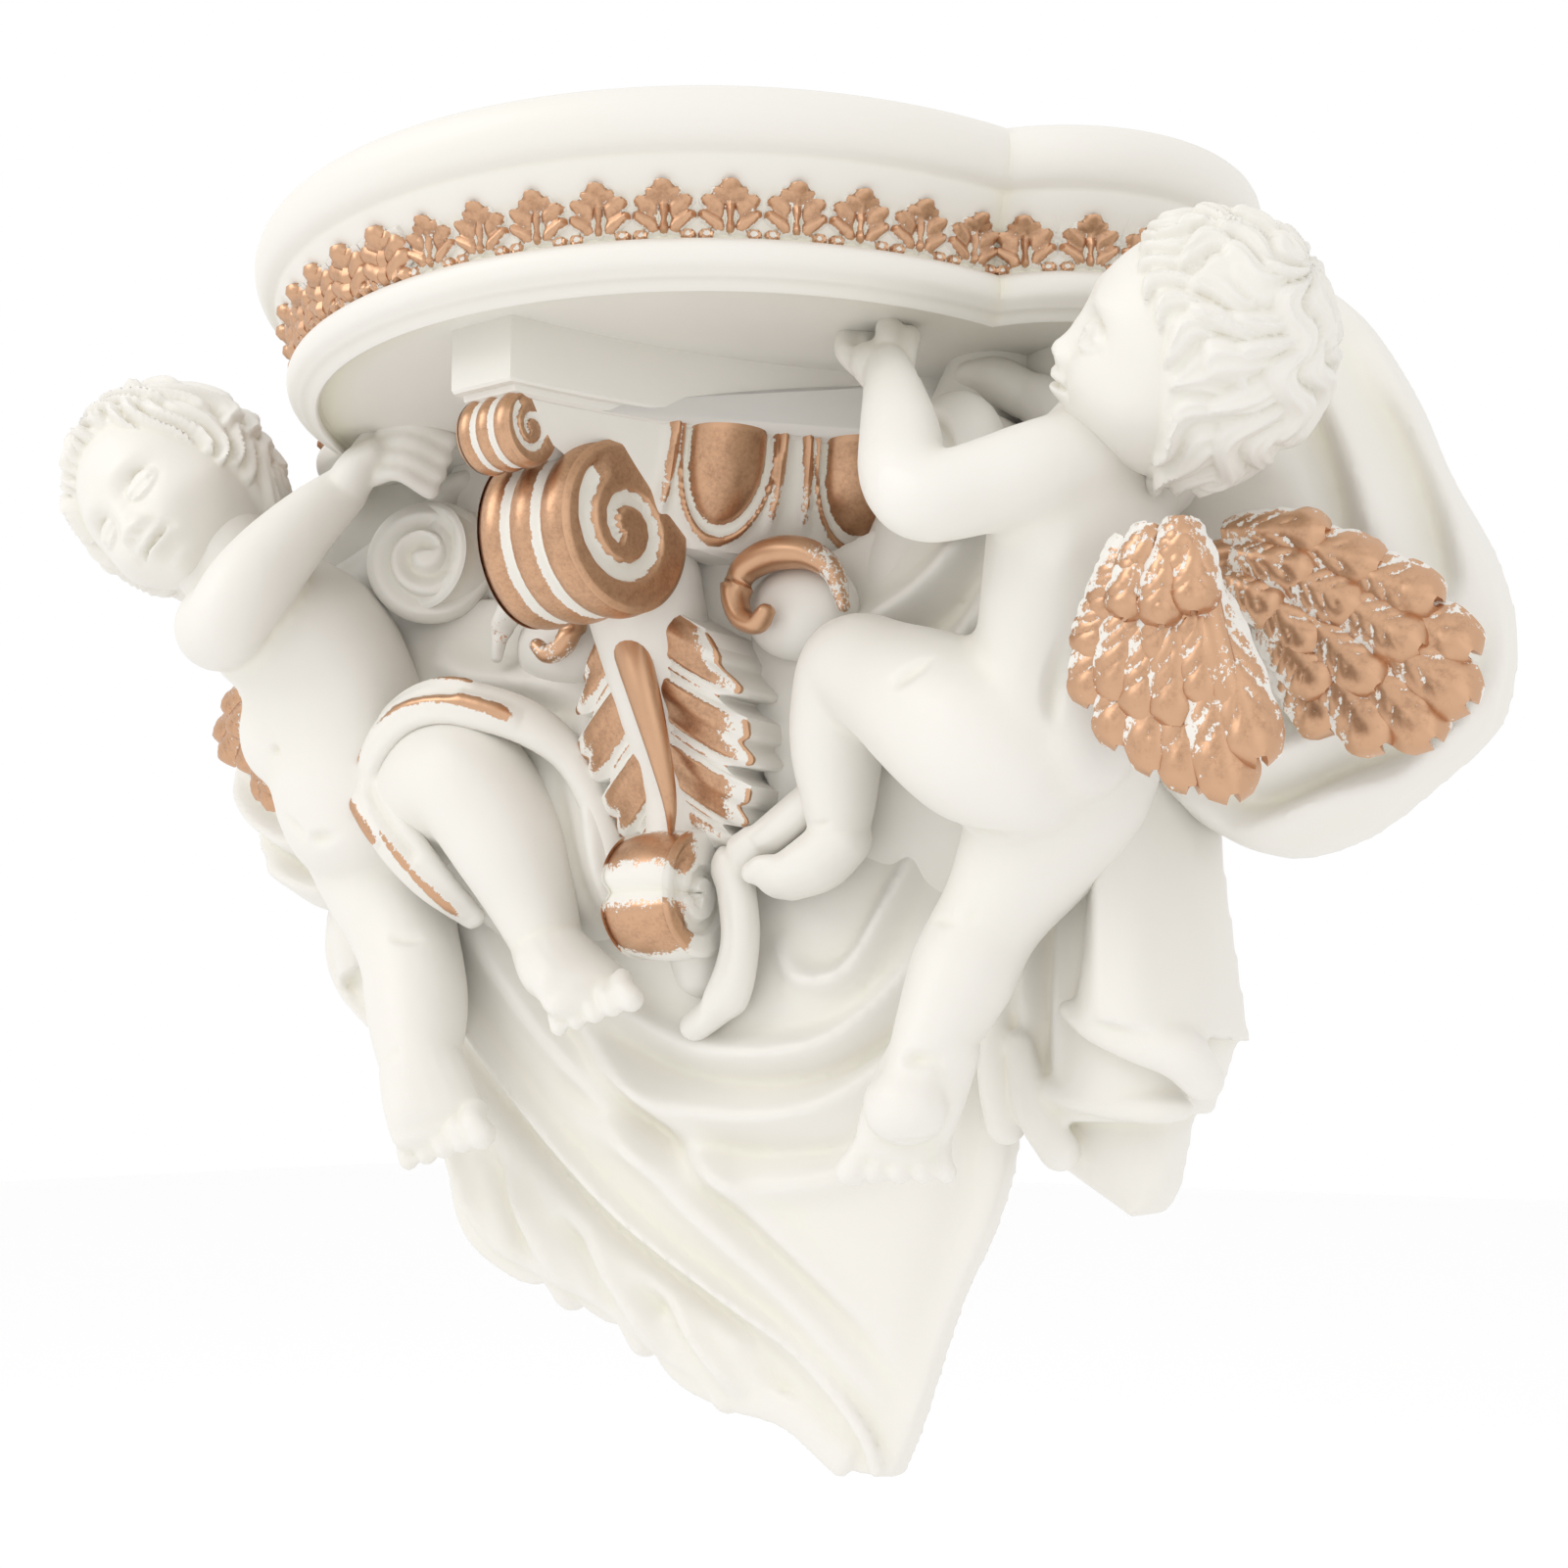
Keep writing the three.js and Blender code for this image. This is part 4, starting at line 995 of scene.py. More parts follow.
def face_relief(x, z):
    """How far a calm child's face stands forward of the skull, by place across and up it."""
    side = np.abs(x)
    d = 1.0 * bell(side, 9, 7) * bell(z, 5, 3.2)
    d -= 3.2 * bell(side, 8.6, 4.6) * bell(z, -1.2, 3.6)
    lid = 1 - ((side - 9.2) / 5.0) ** 2 - ((z + 2.6) / 3.5) ** 2
    d += 2.5 * np.sqrt(np.clip(lid, 0, 1))
    d -= 0.9 * bell(z, -4.0 - 0.035 * (side - 9.2) ** 2 + 0.9, 0.6) * bell(side, 9.2, 4.2)
    d -= 0.6 * bell(z, 1.3 - 0.05 * (side - 9.2) ** 2, 0.7) * bell(side, 9.2, 4.4)
    bridge = np.interp(z, [-14, -12.4, -10.4, -8.8, -5, -1, 4], [0, 1.6, 3.4, 3.5, 2.0, 0.8, 0])
    width = np.interp(z, [-12, -9, -4, 4], [3.6, 3.6, 3.0, 3.2])
    d += bridge * bell(side, 0, width)
    d += 1.0 * bell(side, 0, 3.0) * bell(z, -9.6, 2.4)
    d += 1.8 * bell(side, 3.7, 1.8) * bell(z, -10.4, 1.8)
    d -= 1.0 * bell(side, 1.7, 0.9) * bell(z, -12.0, 0.8)
    d += 2.6 * bell(side, 0, 8) * bell(z, -15.5, 4.8)
    d += 1.8 * bell(z, -14.8 + 0.02 * side**2, 1.2) * bell(side, 0, 5.0) * (1 - 0.25 * bell(side, 0, 1))
    d += 2.0 * bell(z, -17.9 + 0.03 * side**2, 1.4) * bell(side, 0, 3.9)
    d -= 1.7 * bell(z, -16.3 + 0.022 * side**2, 0.55) * (1 - ramp(side, 5.2, 7))
    d -= 0.8 * bell(side, 7.2, 1.3) * bell(z, -15.4, 1.4)
    d -= 1.2 * bell(z, -20.4, 1.4) * bell(side, 0, 4)
    d += 4.6 * bell(side, 0, 7) * bell(z, -23.8, 4.0)
    d += 3.0 * bell(side, 12.5, 6.6) * bell(z, -11.5, 6.4)
    d -= 0.6 * bell(side, 5.8 + 0.25 * (-11 - z), 1.0) * bell(z, -13.4, 2.6)
    return d


def skull(style, segments=250):
    """Head in its own frame: x to the figure's left, face to -y, z up, with its hair raised."""
    obj = ball((0, 0, 0), 1, segments=segments)
    n = places(obj)
    side = np.abs(n[:, 0])
    forward = -n[:, 1]
    p = n * [HEAD_DEPTH * 0.91, HEAD_DEPTH, HEAD_DEPTH * 1.04]
    p[:, 0] *= 1 - 0.10 * ramp(-n[:, 2], 0.3, 1)
    p[:, 1] = np.where(n[:, 1] > 0, p[:, 1] * 1.06, p[:, 1])
    hair = hair_height(unit(n * [0.95, 1, 1]), style)
    bare = 1 - ramp(hair, 0.2, 1.5)
    front = ramp(forward, 0.05, 0.4) * bare
    p[:, 1] -= front * face_relief(p[:, 0], p[:, 2])
    p[:, 1] -= front * 3.0 * bell(p[:, 2], -19, 8) * bell(p[:, 0], 0, 13)
    jaw = ramp(side, 0.5, 0.8) * bell(n[:, 2], -0.45, 0.25) * ramp(forward, 0, 0.5)
    p[:, 0] += np.sign(n[:, 0]) * 1.4 * jaw
    put(obj, p + n * hair[:, None])
    return apply_modifier(obj, "SMOOTH", factor=0.4, iterations=2)


# Hair: crown, reach of the hairline by direction from the brow, and how the locks wave.
HAIR = {
    1: {"crown": (0.15, 0.50, 0.86), "swing": 0.20, "height": 4.6, "seed": 5, "part": 0.35,
        "reach": [(0, 1.32), (0.5, 1.34), (1.0, 1.42), (1.5, 1.8), (2.1, 2.3), (2.6, 2.5), (3.15, 2.5)]},
    -1: {"crown": (0.0, 0.34, 0.94), "swing": 0.21, "height": 6.4, "seed": 11, "part": 0.9,
         "reach": [(0, 1.02), (0.5, 1.16), (1.0, 1.62), (1.5, 2.1), (2.1, 2.4), (2.6, 2.45), (3.15, 2.45)]},
}
# Tiers of locks from the nape up: start and end as shares of the reach, locks round the head, height of the bed.
HAIR_TIERS = [(0.60, 1.02, 19, 0.8), (0.36, 0.80, 17, 2.0), (0.14, 0.56, 13, 3.0), (-0.05, 0.33, 8, 3.9)]


def hair_height(way, style):
    """Height of the combed, tiered locks over the skull for each direction from its centre."""
    draw = np.random.default_rng(style["seed"])
    crown = unit(style["crown"])
    first = unit(np.array([0, -1.0, 0]) + crown * crown[1])
    second = np.cross(crown, first)
    polar = np.arccos(np.clip(way @ crown, -1, 1))
    heading = np.arctan2(way @ second, way @ first)
    reach_at, reach = np.array(style["reach"]).T
    share = polar / np.interp(np.abs(heading), reach_at, reach)
    source = heading - np.sign(heading) * style["part"] * bell(heading, 0, 1.1) * share**2
    height = np.zeros(len(way))
    for tier, (start, end, count, bed) in enumerate(HAIR_TIERS):
        wave = np.sin(5.0 * polar + 1.3 * np.sin(2 * heading + tier) + 1.9 * tier)
        wave = wave + 0.35 * np.sin(9.5 * polar + 3 * heading)
        place = (source + style["swing"] * wave / np.maximum(np.sin(polar), 0.55)) / (2 * math.pi) * count + 0.4 * tier
        lock = np.floor(place).astype(int) % count
        ends = draw.uniform(-0.07, 0.05, count)[lock]
        tall = draw.uniform(0.8, 1.2, count)[lock]
        along = (share - start) / (end + ends - start)
        across = (2 * (place - np.floor(place)) - 1) * (1 + 0.75 * ramp(along, 0.55, 1.0))
        body = np.clip(1 - np.abs(across) ** 2.2, 0, 1) ** 0.75
        tip = np.sqrt(np.clip(1 - (np.clip(along - 0.8, 0, 1) / 0.2) ** 2, 0, 1))
        comb = 0.42 * np.cos(2 * math.pi * (1.55 * across + 0.25 * np.sin(7 * polar))) * (1 - bell(np.abs(across), 1, 0.2))
        shape = (bed + style["height"] * 0.62 * tall * body * (0.45 + 0.55 * ramp(along, 0, 0.5)) + comb * body) * tip
        inside = (along > 0) & (along < 1) & (np.abs(across) < 1)
        height = np.maximum(height, np.where(inside, shape, 0))
    floor = 1.6 * (1 - ramp(share, 0.93, 1.0))
    return np.maximum(height, floor)


def make_head(pose, name):
    obj = skull(HAIR[pose["side"]])
    points, out = places(obj), normals(obj)
    for side in (1, -1):
        lid = [[side * x, -40, z] for x, z in ((5.2, -3.0), (7.4, -4.2), (9.6, -4.5), (11.8, -4.0), (13.6, -2.6))]
        face_stroke(points, out, lid, 0.9, -0.6)
        fold_line = [[side * x, -40, z] for x, z in ((5.6, -0.6), (8, 1.0), (10.4, 1.1), (13, -0.4))]
        face_stroke(points, out, fold_line, 0.9, -0.4)
    mouth = [[x, -40, -16.3 + 0.022 * x * x] for x in (-6, -3, -1, 0, 1, 3, 6)]
    face_stroke(points, out, mouth, 0.85, -0.6)
    points[:, 2] -= pose["long"] * np.maximum(-points[:, 2] - 3, 0)
    turn = axes(pose["head_up"], pose["head_face"])
    put(obj, pose["head_scale"] * points @ turn.T + np.array(pose["head_at"], float))
    mirrored(obj, pose["side"])
    obj.name = name
    settle(thin(obj, 66000), resin, reach=5, angle=60)


def face_stroke(points, out, path, width, depth):
    """A cut seen from the front of the face: only the place across and up counts."""
    flat = points.copy()
    flat[:, 1] = np.where(points[:, 1] < -8, -40, 400)
    moved = flat.copy()
    stroke(moved, out, smooth_path(path), width, depth, taper=0.2)
    points += moved - flat


def make_drape(left, right, depth, folds, columns, rows):
    """Cloth in relief between two edges [x, z]; folds are (path [x, z], half width, height)."""
    def place(u, v):
        spot = lerp(spline(left, v), spline(right, v), u[:, None])
        y = depth(u, v)
        for path, width, height in folds:
            y = y + height * crease(spot, smooth_path(path, 30), width)
        return np.column_stack([spot[:, 0], -np.maximum(y, 1.0), spot[:, 1]])

    return back_to_wall(apply_modifier(sheet(columns, rows, place), "SMOOTH", factor=0.5, iterations=3))


def crease(spot, path, width):
    """1 along the path, falling off across it and fading at its ends."""
    best = np.full(len(spot), 1e9)
    share = np.zeros(len(spot))
    for k in range(len(path) - 1):
        a, b = path[k], path[k + 1]
        t = np.clip((spot - a) @ (b - a) / max((b - a) @ (b - a), 1e-9), 0, 1)
        d = np.linalg.norm(spot - a - t[:, None] * (b - a), axis=1)
        closer = d < best
        best[closer] = d[closer]
        share[closer] = ((k + t) / (len(path) - 1))[closer]
    fade = np.clip(np.minimum(share, 1 - share) / 0.3, 0, 1) ** 0.7
    return np.exp(-((best / width) ** 2)) * fade


def rolled(path, radius, depth=None):
    """The rolled hem along the free edge of cloth."""
    return limb([[*p, radius, depth or radius] for p in path], across=(0, 1, 0.3), around=12, per=6)


TAIL_LEFT = [[-104, 18], [-118, -40], [-128, -100], [-127, -150], [-125, -205], [-112, -236], [-92, -246], [-62, -256],
             [-30, -273], [4, -284], [40, -299]]
TAIL_RIGHT = [[104, 18], [104, -40], [100, -90], [96, -130], [93, -165], [93, -198], [86, -223], [74, -246], [66, -266],
              [60, -282], [52, -299]]
TAIL_FOLDS = [
    ([[-130, -120], [-118, -142], [-94, -169], [-55, -207], [-27, -230], [4, -250], [26, -264], [48, -286]], 2.6, 5.5),
    ([[-124, -142], [-99, -177], [-60, -215], [-30, -239], [2, -258], [36, -284]], 4.0, -5.5),
    ([[-110, -120], [-82, -150], [-48, -182], [-12, -218], [25, -248], [52, -278]], 6, 4.0),
    ([[-96, -118], [-65, -158], [-32, -190], [7, -225], [40, -254], [58, -280]], 4.5, -3.5),
    ([[-80, -120], [-52, -160], [-20, -190], [16, -222], [50, -256]], 5, 3.2),
    ([[-46, -150], [-29, -160], [2, -173], [41, -172], [65, -156], [80, -132]], 4.2, 5.0),
    ([[-56, -158], [-36, -170], [0, -182], [40, -181], [68, -164], [86, -140]], 3.2, -3.4),
    ([[-60, -168], [-40, -180], [-4, -192], [38, -191], [68, -174], [84, -152]], 4.6, 4.4),
    ([[-62, -182], [-38, -192], [0, -203], [44, -202], [66, -188]], 3.6, -3.0),
    ([[-56, -192], [-32, -204], [6, -214], [46, -211], [74, -196]], 5, 3.0),
    ([[26, -140], [36, -152], [52, -150], [66, -128], [76, -106]], 3.6, 4.6),
    ([[78, -150], [84, -180], [80, -215], [68, -246], [58, -276]], 7, -2.0),
    ([[-112, -196], [-104, -214], [-96, -236]], 5, 4), ([[-94, -200], [-84, -226], [-78, -246]], 4, -4),
    ([[-84, -212], [-70, -234], [-62, -252]], 5, 4), ([[-64, -226], [-54, -240], [-46, -256]], 3.4, -4),
    ([[-52, -232], [-38, -252], [-28, -268]], 4.5, 4), ([[-34, -246], [-22, -260], [-16, -272]], 3.2, -3.4),
    ([[-24, -252], [-8, -268], [2, -280]], 4, 3.4), ([[2, -264], [16, -276], [24, -288]], 3.4, -2.6),
]


def make_tail():
    def depth(u, v):
        edge = np.sin(0.5 * math.pi * np.clip(u / 0.10, 0, 1)) * np.sin(0.5 * math.pi * np.clip((1 - u) / 0.34, 0, 1)) ** 0.7
        mass = spline([[32], [34], [33], [31], [27], [22], [17], [12], [8]], v)[:, 0]
        return lerp(7.0, mass, edge)

    folds = [(path, 0.92 * width, 1.4 * height) for path, width, height in TAIL_FOLDS]
    obj = make_drape(TAIL_LEFT, TAIL_RIGHT, depth, folds, 150, 210)
    hem = [[-124, -9, -206], [-114, -11, -232], [-92, -10, -245], [-74, -14, -244], [-54, -10, -256], [-36, -14, -254],
           [-26, -10, -272], [-6, -10, -279], [16, -10, -283], [36, -9, -296]]
    lip = [[-118, -29, -142], [-94, -28, -169], [-55, -26, -207], [-27, -24, -230], [4, -21, -250], [26, -18, -264],
           [44, -14, -284], [48, -10, -297]]
    parts = [obj, rolled(hem, 2.6, 6), rolled(lip, 1.8, 2.6)]
    parts.append(limb([[-71, -9, -252, 6.5], [-79, -14, -238, 5.6], [-90, -20, -212, 3]], around=14))
    parts.append(limb([[-40, -9, -265, 6], [-47, -13, -252, 5], [-58, -18, -236, 3]], around=14))
    parts.append(limb([[-103, -8, -239, 5.6], [-109, -12, -222, 5], [-117, -18, -198, 3]], around=14))
    parts.append(limb([[-8, -8, -281, 5], [-16, -11, -270, 4.4], [-26, -15, -258, 2.6]], around=14))
    obj = fuse(parts, "cloth_tail", 1.35, 2)
    trim_at_wall(obj)
    settle(thin(obj, 80000), resin, reach=12, angle=60)


def make_curtain(side, name):
    """Cloth outside the straight leg: three overlapping falls, the outermost a round flute."""
    flare = 0 if side > 0 else 1

    def fall(depth_at, bulge):
        def depth(u, v):
            edge = np.sin(math.pi * np.clip(u, 0.0, 1.0)) ** 0.42
            return lerp(4, depth_at * (0.9 + 0.2 * v) + bulge, edge)
        return depth

    if side > 0:
        low = make_drape(
            [[90, -66], [92, -130], [93, -170], [92, -194]], [[150, -66], [154, -130], [152, -170], [146, -194]],
            fall(19, 2), [([[106, -90], [105, -140], [103, -188]], 3.4, 5), ([[113, -90], [112, -140], [110, -190]], 3, -4)],
            60, 90)
        point = make_drape(
            [[92, -186], [98, -200], [110, -208], [122, -215], [132, -220]],
            [[148, -186], [147, -196], [145, -204], [143, -212], [138, -219]], fall(12, 3), [], 40, 40)
        back = make_drape(
            [[110, -66], [110, -130], [108, -165], [108, -186]], [[157, -66], [159, -130], [162, -165], [153, -192]],
            fall(25, 3), [([[120, -90], [118, -140], [115, -184]], 3.2, 4)], 60, 90)
        flute = make_drape(
            [[124, -66], [125, -110], [124, -140], [120, -163]],
            [[155, -66], [157, -110], [161, -145], [164.5, -172]],
            fall(34, 6), [([[140, -70], [139, -110], [138, -166]], 3.4, 3.5), ([[150, -80], [153, -130], [156, -168]], 4.2, -3)],
            60, 90)
        parts = [low, point, back, flute]
        parts.append(limb([[124, -31, -163, 3], [134, -35, -168, 4.4], [146, -34, -172, 6], [156, -30, -175, 7.4],
                           [160, -24, -182, 6]], around=18))
        parts.append(limb([[112, -21, -185, 3.6], [128, -26, -188, 4], [144, -25, -190, 4], [152, -20, -190, 3.4]], around=16))
        parts.append(limb([[104, -22, -172, 4], [108, -22, -190, 5.6], [115, -20, -202, 6]], around=16))
        parts.append(limb([[97, -21, -150, 4], [95, -20, -178, 5.5], [97, -18, -195, 6]], around=16))
    else:
        low = make_drape(
            [[100, -66], [104, -130], [104, -180], [112, -208]], [[160, -66], [188, -112], [184, -146], [150, -178]],
            fall(12, 2), [([[140, -100], [158, -136], [144, -176]], 4, 4), ([[126, -110], [134, -150], [126, -196]], 4, 4)],
            70, 100)
        outer = make_drape(
            [[140, -80], [152, -116], [160, -140]], [[170, -80], [191, -122], [182, -150]],
            fall(12, 6), [], 40, 50)
        parts = [low, outer]
        parts.append(rolled([[190, -8, -122], [186, -12, -138], [178, -12, -152], [160, -12, -166]], 2.4))
    obj = fuse(parts, name, 1.3, 5)
    mirrored(obj, side)
    trim_at_wall(obj)
    settle(thin(obj, 36000), resin, reach=12, angle=60)


PUFF_FOLDS = [
    ([[146, -100], [170, -118], [198, -110], [224, -102], [238, -80]], 4.6, 5.0),
    ([[154, -92], [176, -108], [204, -100], [228, -88], [238, -66]], 3.4, -4.6),
    ([[160, -82], [182, -98], [206, -90], [226, -74], [234, -56]], 4.2, 4.6),
    ([[168, -72], [190, -86], [210, -78], [224, -62]], 3.4, -3.8),
    ([[176, -62], [196, -76], [212, -66], [222, -50]], 4.0, 3.4),
    ([[214, -122], [221, -106], [232, -97], [240, -88]], 2.6, -6.0),
    ([[208, 16], [224, -14], [234, -44], [238, -66]], 6, 4.0), ([[200, 20], [216, -10], [226, -40], [230, -64]], 4.4, -4.4),
    ([[190, 28], [204, -4], [214, -34], [220, -60]], 5.5, 4.0), ([[180, 34], [194, 2], [204, -28], [208, -54]], 4.4, -3.6),
    ([[168, 36], [180, 4], [190, -26]], 5.5, 3.0),
]


def make_puff(side, name):
    inner = [[100, 40], [104, 20], [108, -10], [114, -40], [120, -64], [130, -84], [150, -100]]
    outer = [[186, 42], [204, 28], [219, 2], [228, -22], [239, -46], [243, -68], [238, -90], [222, -104], [200, -118],
             [178, -122], [158, -113]]

    outer = [[x - (1.2 if side > 0 else 8.5) * ramp(x, 190, 240), z] for x, z in outer]

    def depth(u, v):
        swell = np.sin(math.pi * np.clip(0.12 + 0.86 * u, 0, 1)) ** 0.55
        down = np.sin(math.pi * np.clip(0.16 + 0.8 * v, 0, 1)) ** 0.5
        return 5 + 36 * swell * down

    folds = [(path, width, 1.5 * height) for path, width, height in PUFF_FOLDS]
    obj = make_drape(inner, outer, depth, folds, 130, 150)
    obj = fuse([obj], name, 1.4, 2)
    mirrored(obj, side)
    trim_at_wall(obj)
    settle(thin(obj, 36000), resin, reach=12, angle=60)


def feather(root, tip, front, width, thickness=3.4, bend=0.0, barbs=6.0):
    """One carved feather: a shaft and slanted barbs in a rounded, domed blade, gilded on its heights."""
    root, tip, front = (np.asarray(p, float) for p in (root, tip, front))
    along = tip - root
    length = np.linalg.norm(along)
    along = along / length
    front = unit(front - along * (front @ along))
    across = np.cross(along, front)
    shape = {}

    def place(u, v):
        x = 2 * u - 1
        outline = np.interp(v, [0, 0.15, 0.5, 0.78, 0.9, 0.96, 0.99, 1], [0.5, 0.78, 0.92, 1.0, 0.93, 0.72, 0.45, 0.1])
        drift = 0.35 * np.sin(5 * v + 9 * root[0]) + 0.8 * np.sin(2.2 * np.sign(x) + root[2])
        barb = np.cos(2 * math.pi * (barbs * v**1.15 - 1.6 * np.abs(x) ** 0.8 + drift))
        ragged = 1 + 0.05 * np.cos(2 * math.pi * (5 * v + 0.4 * np.sign(x) + drift))
        height = thickness * (1 - 0.95 * np.abs(x) ** 2.6) + 0.30 * barb * (1 - bell(x, 0, 0.14)) * np.sin(math.pi * v) ** 0.5
        height = height + 0.8 * bell(x, 0, 0.13) * (1 - 0.7 * v) + 0.9 * bell(v, 0.9, 0.1) * (1 - x * x)
        gilt = 0.52 + 0.18 * barb + 0.2 * bell(x, 0, 0.25) + 0.3 * bell(v, 0.9, 0.16) - 0.5 * ramp(np.abs(x), 0.66, 0.95)
        gilt = gilt - 0.22 * bell(v, 0.25, 0.2)
        shape["gilt"] = np.clip(gilt, 0, 1) * ramp(v, -0.25, 0.25)
        side = x * width * outline * ragged + bend * v * v
        spot = root + along * (length * v)[:, None] + across * side[:, None]
        return spot + front * (height + 1.8 * np.sin(math.pi * v))[:, None]

    obj = sheet(16, 34, place)
    note(obj, "gilt", shape["gilt"])
    return thicken(obj, 2.2)


# Feathers of each wing as rows of (root, tip) ends, one feather for each pair.
def feather_row(roots, tips, front, width, lift, bend=0.0, barbs=7.0):
    made = []
    front = unit(front)
    for k, (root, tip) in enumerate(zip(roots, tips)):
        away = front * (lift + 1.1 * (k % 2))
        made.append(feather(np.array(root, float) + away, np.array(tip, float) + 0.35 * away, front, width, bend=bend, barbs=barbs))
    return made


def at_depth(pairs, y):
    return [[x, y, z] for x, z in pairs]


def make_wings():
    near_front = np.array([0.45, -0.88, 0.1])
    far_front = np.array([0.1, -0.98, 0.05])
    near = feather_row(
        at_depth([(192, -66), (189, -66), (185, -66), (181, -64), (176, -61), (171, -58)], -90),
        at_depth([(205, -108), (198, -116), (188, -113), (179, -108), (170, -101), (163, -90)], -91),
        near_front, 6.2, 0)
    near += feather_row(
        at_depth([(190, -60), (186, -60), (181, -60), (176, -58), (172, -56)], -91),
        at_depth([(193, -94), (185, -98), (177, -96), (170, -90), (164, -79)], -92),
        near_front, 5.6, 3.0)
    near += feather_row(
        at_depth([(188, -54), (184, -54), (179, -54), (174, -53)], -91),
        at_depth([(190, -80), (182, -83), (175, -78), (168, -70)], -92),
        near_front, 5.2, 6.0)
    near += [gilded(limb([[190, -93, -56, 3.6, 5], [193, -96, -66, 3.6, 5], [197, -97, -82, 3.2, 4.6], [201, -95, -98, 2.6, 4]]), 0.5)]
    near += feather_row(
        at_depth([(190, -57), (184, -57), (178, -57), (187, -52), (180, -52)], -92),
        at_depth([(192, -72), (184, -74), (175, -71), (189, -63), (178, -63)], -97),
        near_front, 4.6, 8.0, barbs=3)
    near += [gilded(ball([184, -91, -57], [9, 8, 8], axes((0.3, 0, 1), (0.45, -0.88, 0.1))), 0.45)]
    far = feather_row(
        at_depth([(212, -56), (210, -60), (205, -64), (200, -68), (194, -71)], -44),
        at_depth([(241, -79), (240, -91), (231, -99), (219, -99), (206, -93)], -42),
        far_front, 6.8, 0)
    far += feather_row(
        at_depth([(204, -50), (201, -55), (197, -60), (192, -66)], -45),
        at_depth([(234, -66), (230, -77), (219, -85), (206, -84)], -45),
        far_front, 6.2, 3.2)
    far += feather_row(
        at_depth([(194, -46), (193, -52), (190, -58)], -46),
        at_depth([(221, -56), (216, -66), (204, -74)], -47),
        far_front, 5.8, 6.2, barbs=5)
    far += feather_row(
        at_depth([(184, -44), (186, -50), (184, -56)], -47),
        at_depth([(209, -47), (205, -56), (196, -64)], -50),
        far_front, 5.2, 8.6, barbs=4)
    far += [gilded(limb([[180, -54, -49, 8, 5], [196, -50, -48, 8, 5], [212, -46, -53, 6, 4]]), 0.45)]
    obj = join(near + far, "right_wings")
    trim_at_wall(obj)
    settle(thin(outward(obj), 56000), resin, reach=3, angle=60)
    left = feather_row(
        at_depth([(178, -60), (176, -62), (172, -64)], -50), at_depth([(186, -82), (180, -86), (172, -84)], -44),
        far_front, 5, 0)
    left += feather_row(
        at_depth([(184, -46), (186, -50), (184, -56), (180, -60)], -46),
        at_depth([(212, -58), (208, -66), (198, -70), (190, -72)], -42), far_front, 5, 0)
    left += feather_row(
        at_depth([(180, -44), (180, -50)], -48), at_depth([(200, -50), (196, -58)], -48), far_front, 4.6, 2.6)
    obj = join(left, "left_wings")
    mirrored(obj, -1)
    settle(thin(obj, 12000), resin, reach=3, angle=60)


def gilded(obj, value):
    note(obj, "gilt", np.full(len(obj.data.vertices), value))
    return obj


def make_bracket():
    """The stem under the scroll with its leaf, side curls and foot scroll."""
    stem = fuse([
        limb([[0, -66, -33, 18, 20], [0, -52, -66, 15, 18], [0, -42, -95, 13, 14], [0, -44, -120, 10, 12],
              [0, -32, -148, 10, 10]], across=(1, 0, 0), around=28),
        limb([[0, -123, 0, 9, 5], [0, -112, -2, 12, 6], [0, -100, 2, 15, 8], [0, -60, -14, 20, 14]], across=(1, 0, 0)),
    ], "bracket_stem", 1.5, 3)
    gilded(stem, 0.0)
    parts = [stem, leaf_sheet()]
    rib = limb([[-2, -73, -40, 6.4, 4.5], [2, -73, -54, 6.0, 4.8], [7, -72, -70, 5.0, 4.5], [10, -68, -88, 3.4, 3.4],
                [9, -62, -101, 2.0, 2.2], [5, -56, -110, 0.7, 1.0]], across=(1, 0, 0), around=20)
    parts.append(gilded(rib, 1.0))
    for side in (1, -1):
        curl = [[67, -47], [64, -37], [57, -31], [49, -29], [41, -29.5], [34, -33], [31.5, -40], [34, -47], [40, -50], [44, -47]]
        sizes = [1.8, 3.2, 4.4, 5.0, 4.8, 4.2, 3.8, 3.4, 3.0, 2.4]
        tube = limb([[side * x, -56 - 0.7 * k, z, r, r * 1.3] for k, ((x, z), r) in enumerate(zip(curl, sizes))],
                    across=(0.3, 0, 1), around=18)
        far = places(tube)[:, 0] * side
        note(tube, "gilt", (0.82 - 0.5 * ramp(far, 52, 64)) * (1 if side > 0 else 0.45))
        parts.append(tube)
        disc = ball([side * 46, -46, -44], [19, 11, 15])
        parts.append(gilded(disc, 0.0))
    foot = scroll(FOOT_SCROLL_RADIUS, FOOT_SCROLL_WIDTH, FOOT_SCROLL_WIDTH, 2.2, 1, columns=72)
    points = places(foot)
    turn = np.arctan2(points[:, 2], -points[:, 1])
    band = bell(turn, 0.82, 0.36) + bell(turn, -0.68, 0.44)
    note(foot, "gilt", np.clip(1.2 * band, 0, 1) * (np.abs(points[:, 0]) < 0.5 * FOOT_SCROLL_WIDTH + 1)
         * ramp(np.hypot(points[:, 1], points[:, 2]), 8, 12))
    points *= (1 - 0.14 * bell(turn, 0, 0.16))[:, None]
    put(foot, points)
    parts.append(shifted(foot, 0, FOOT_SCROLL_Y, FOOT_SCROLL_Z))
    obj = join(parts, "bracket")
    trim_at_wall(obj)
    settle(thin(outward(obj), 72000), resin, reach=5, angle=50)


# The leaf on the stem: broad gilded fields that fan out and down, a thin rib between each two.
FIELD_PITCH = 21
LEAF_TOP = -34


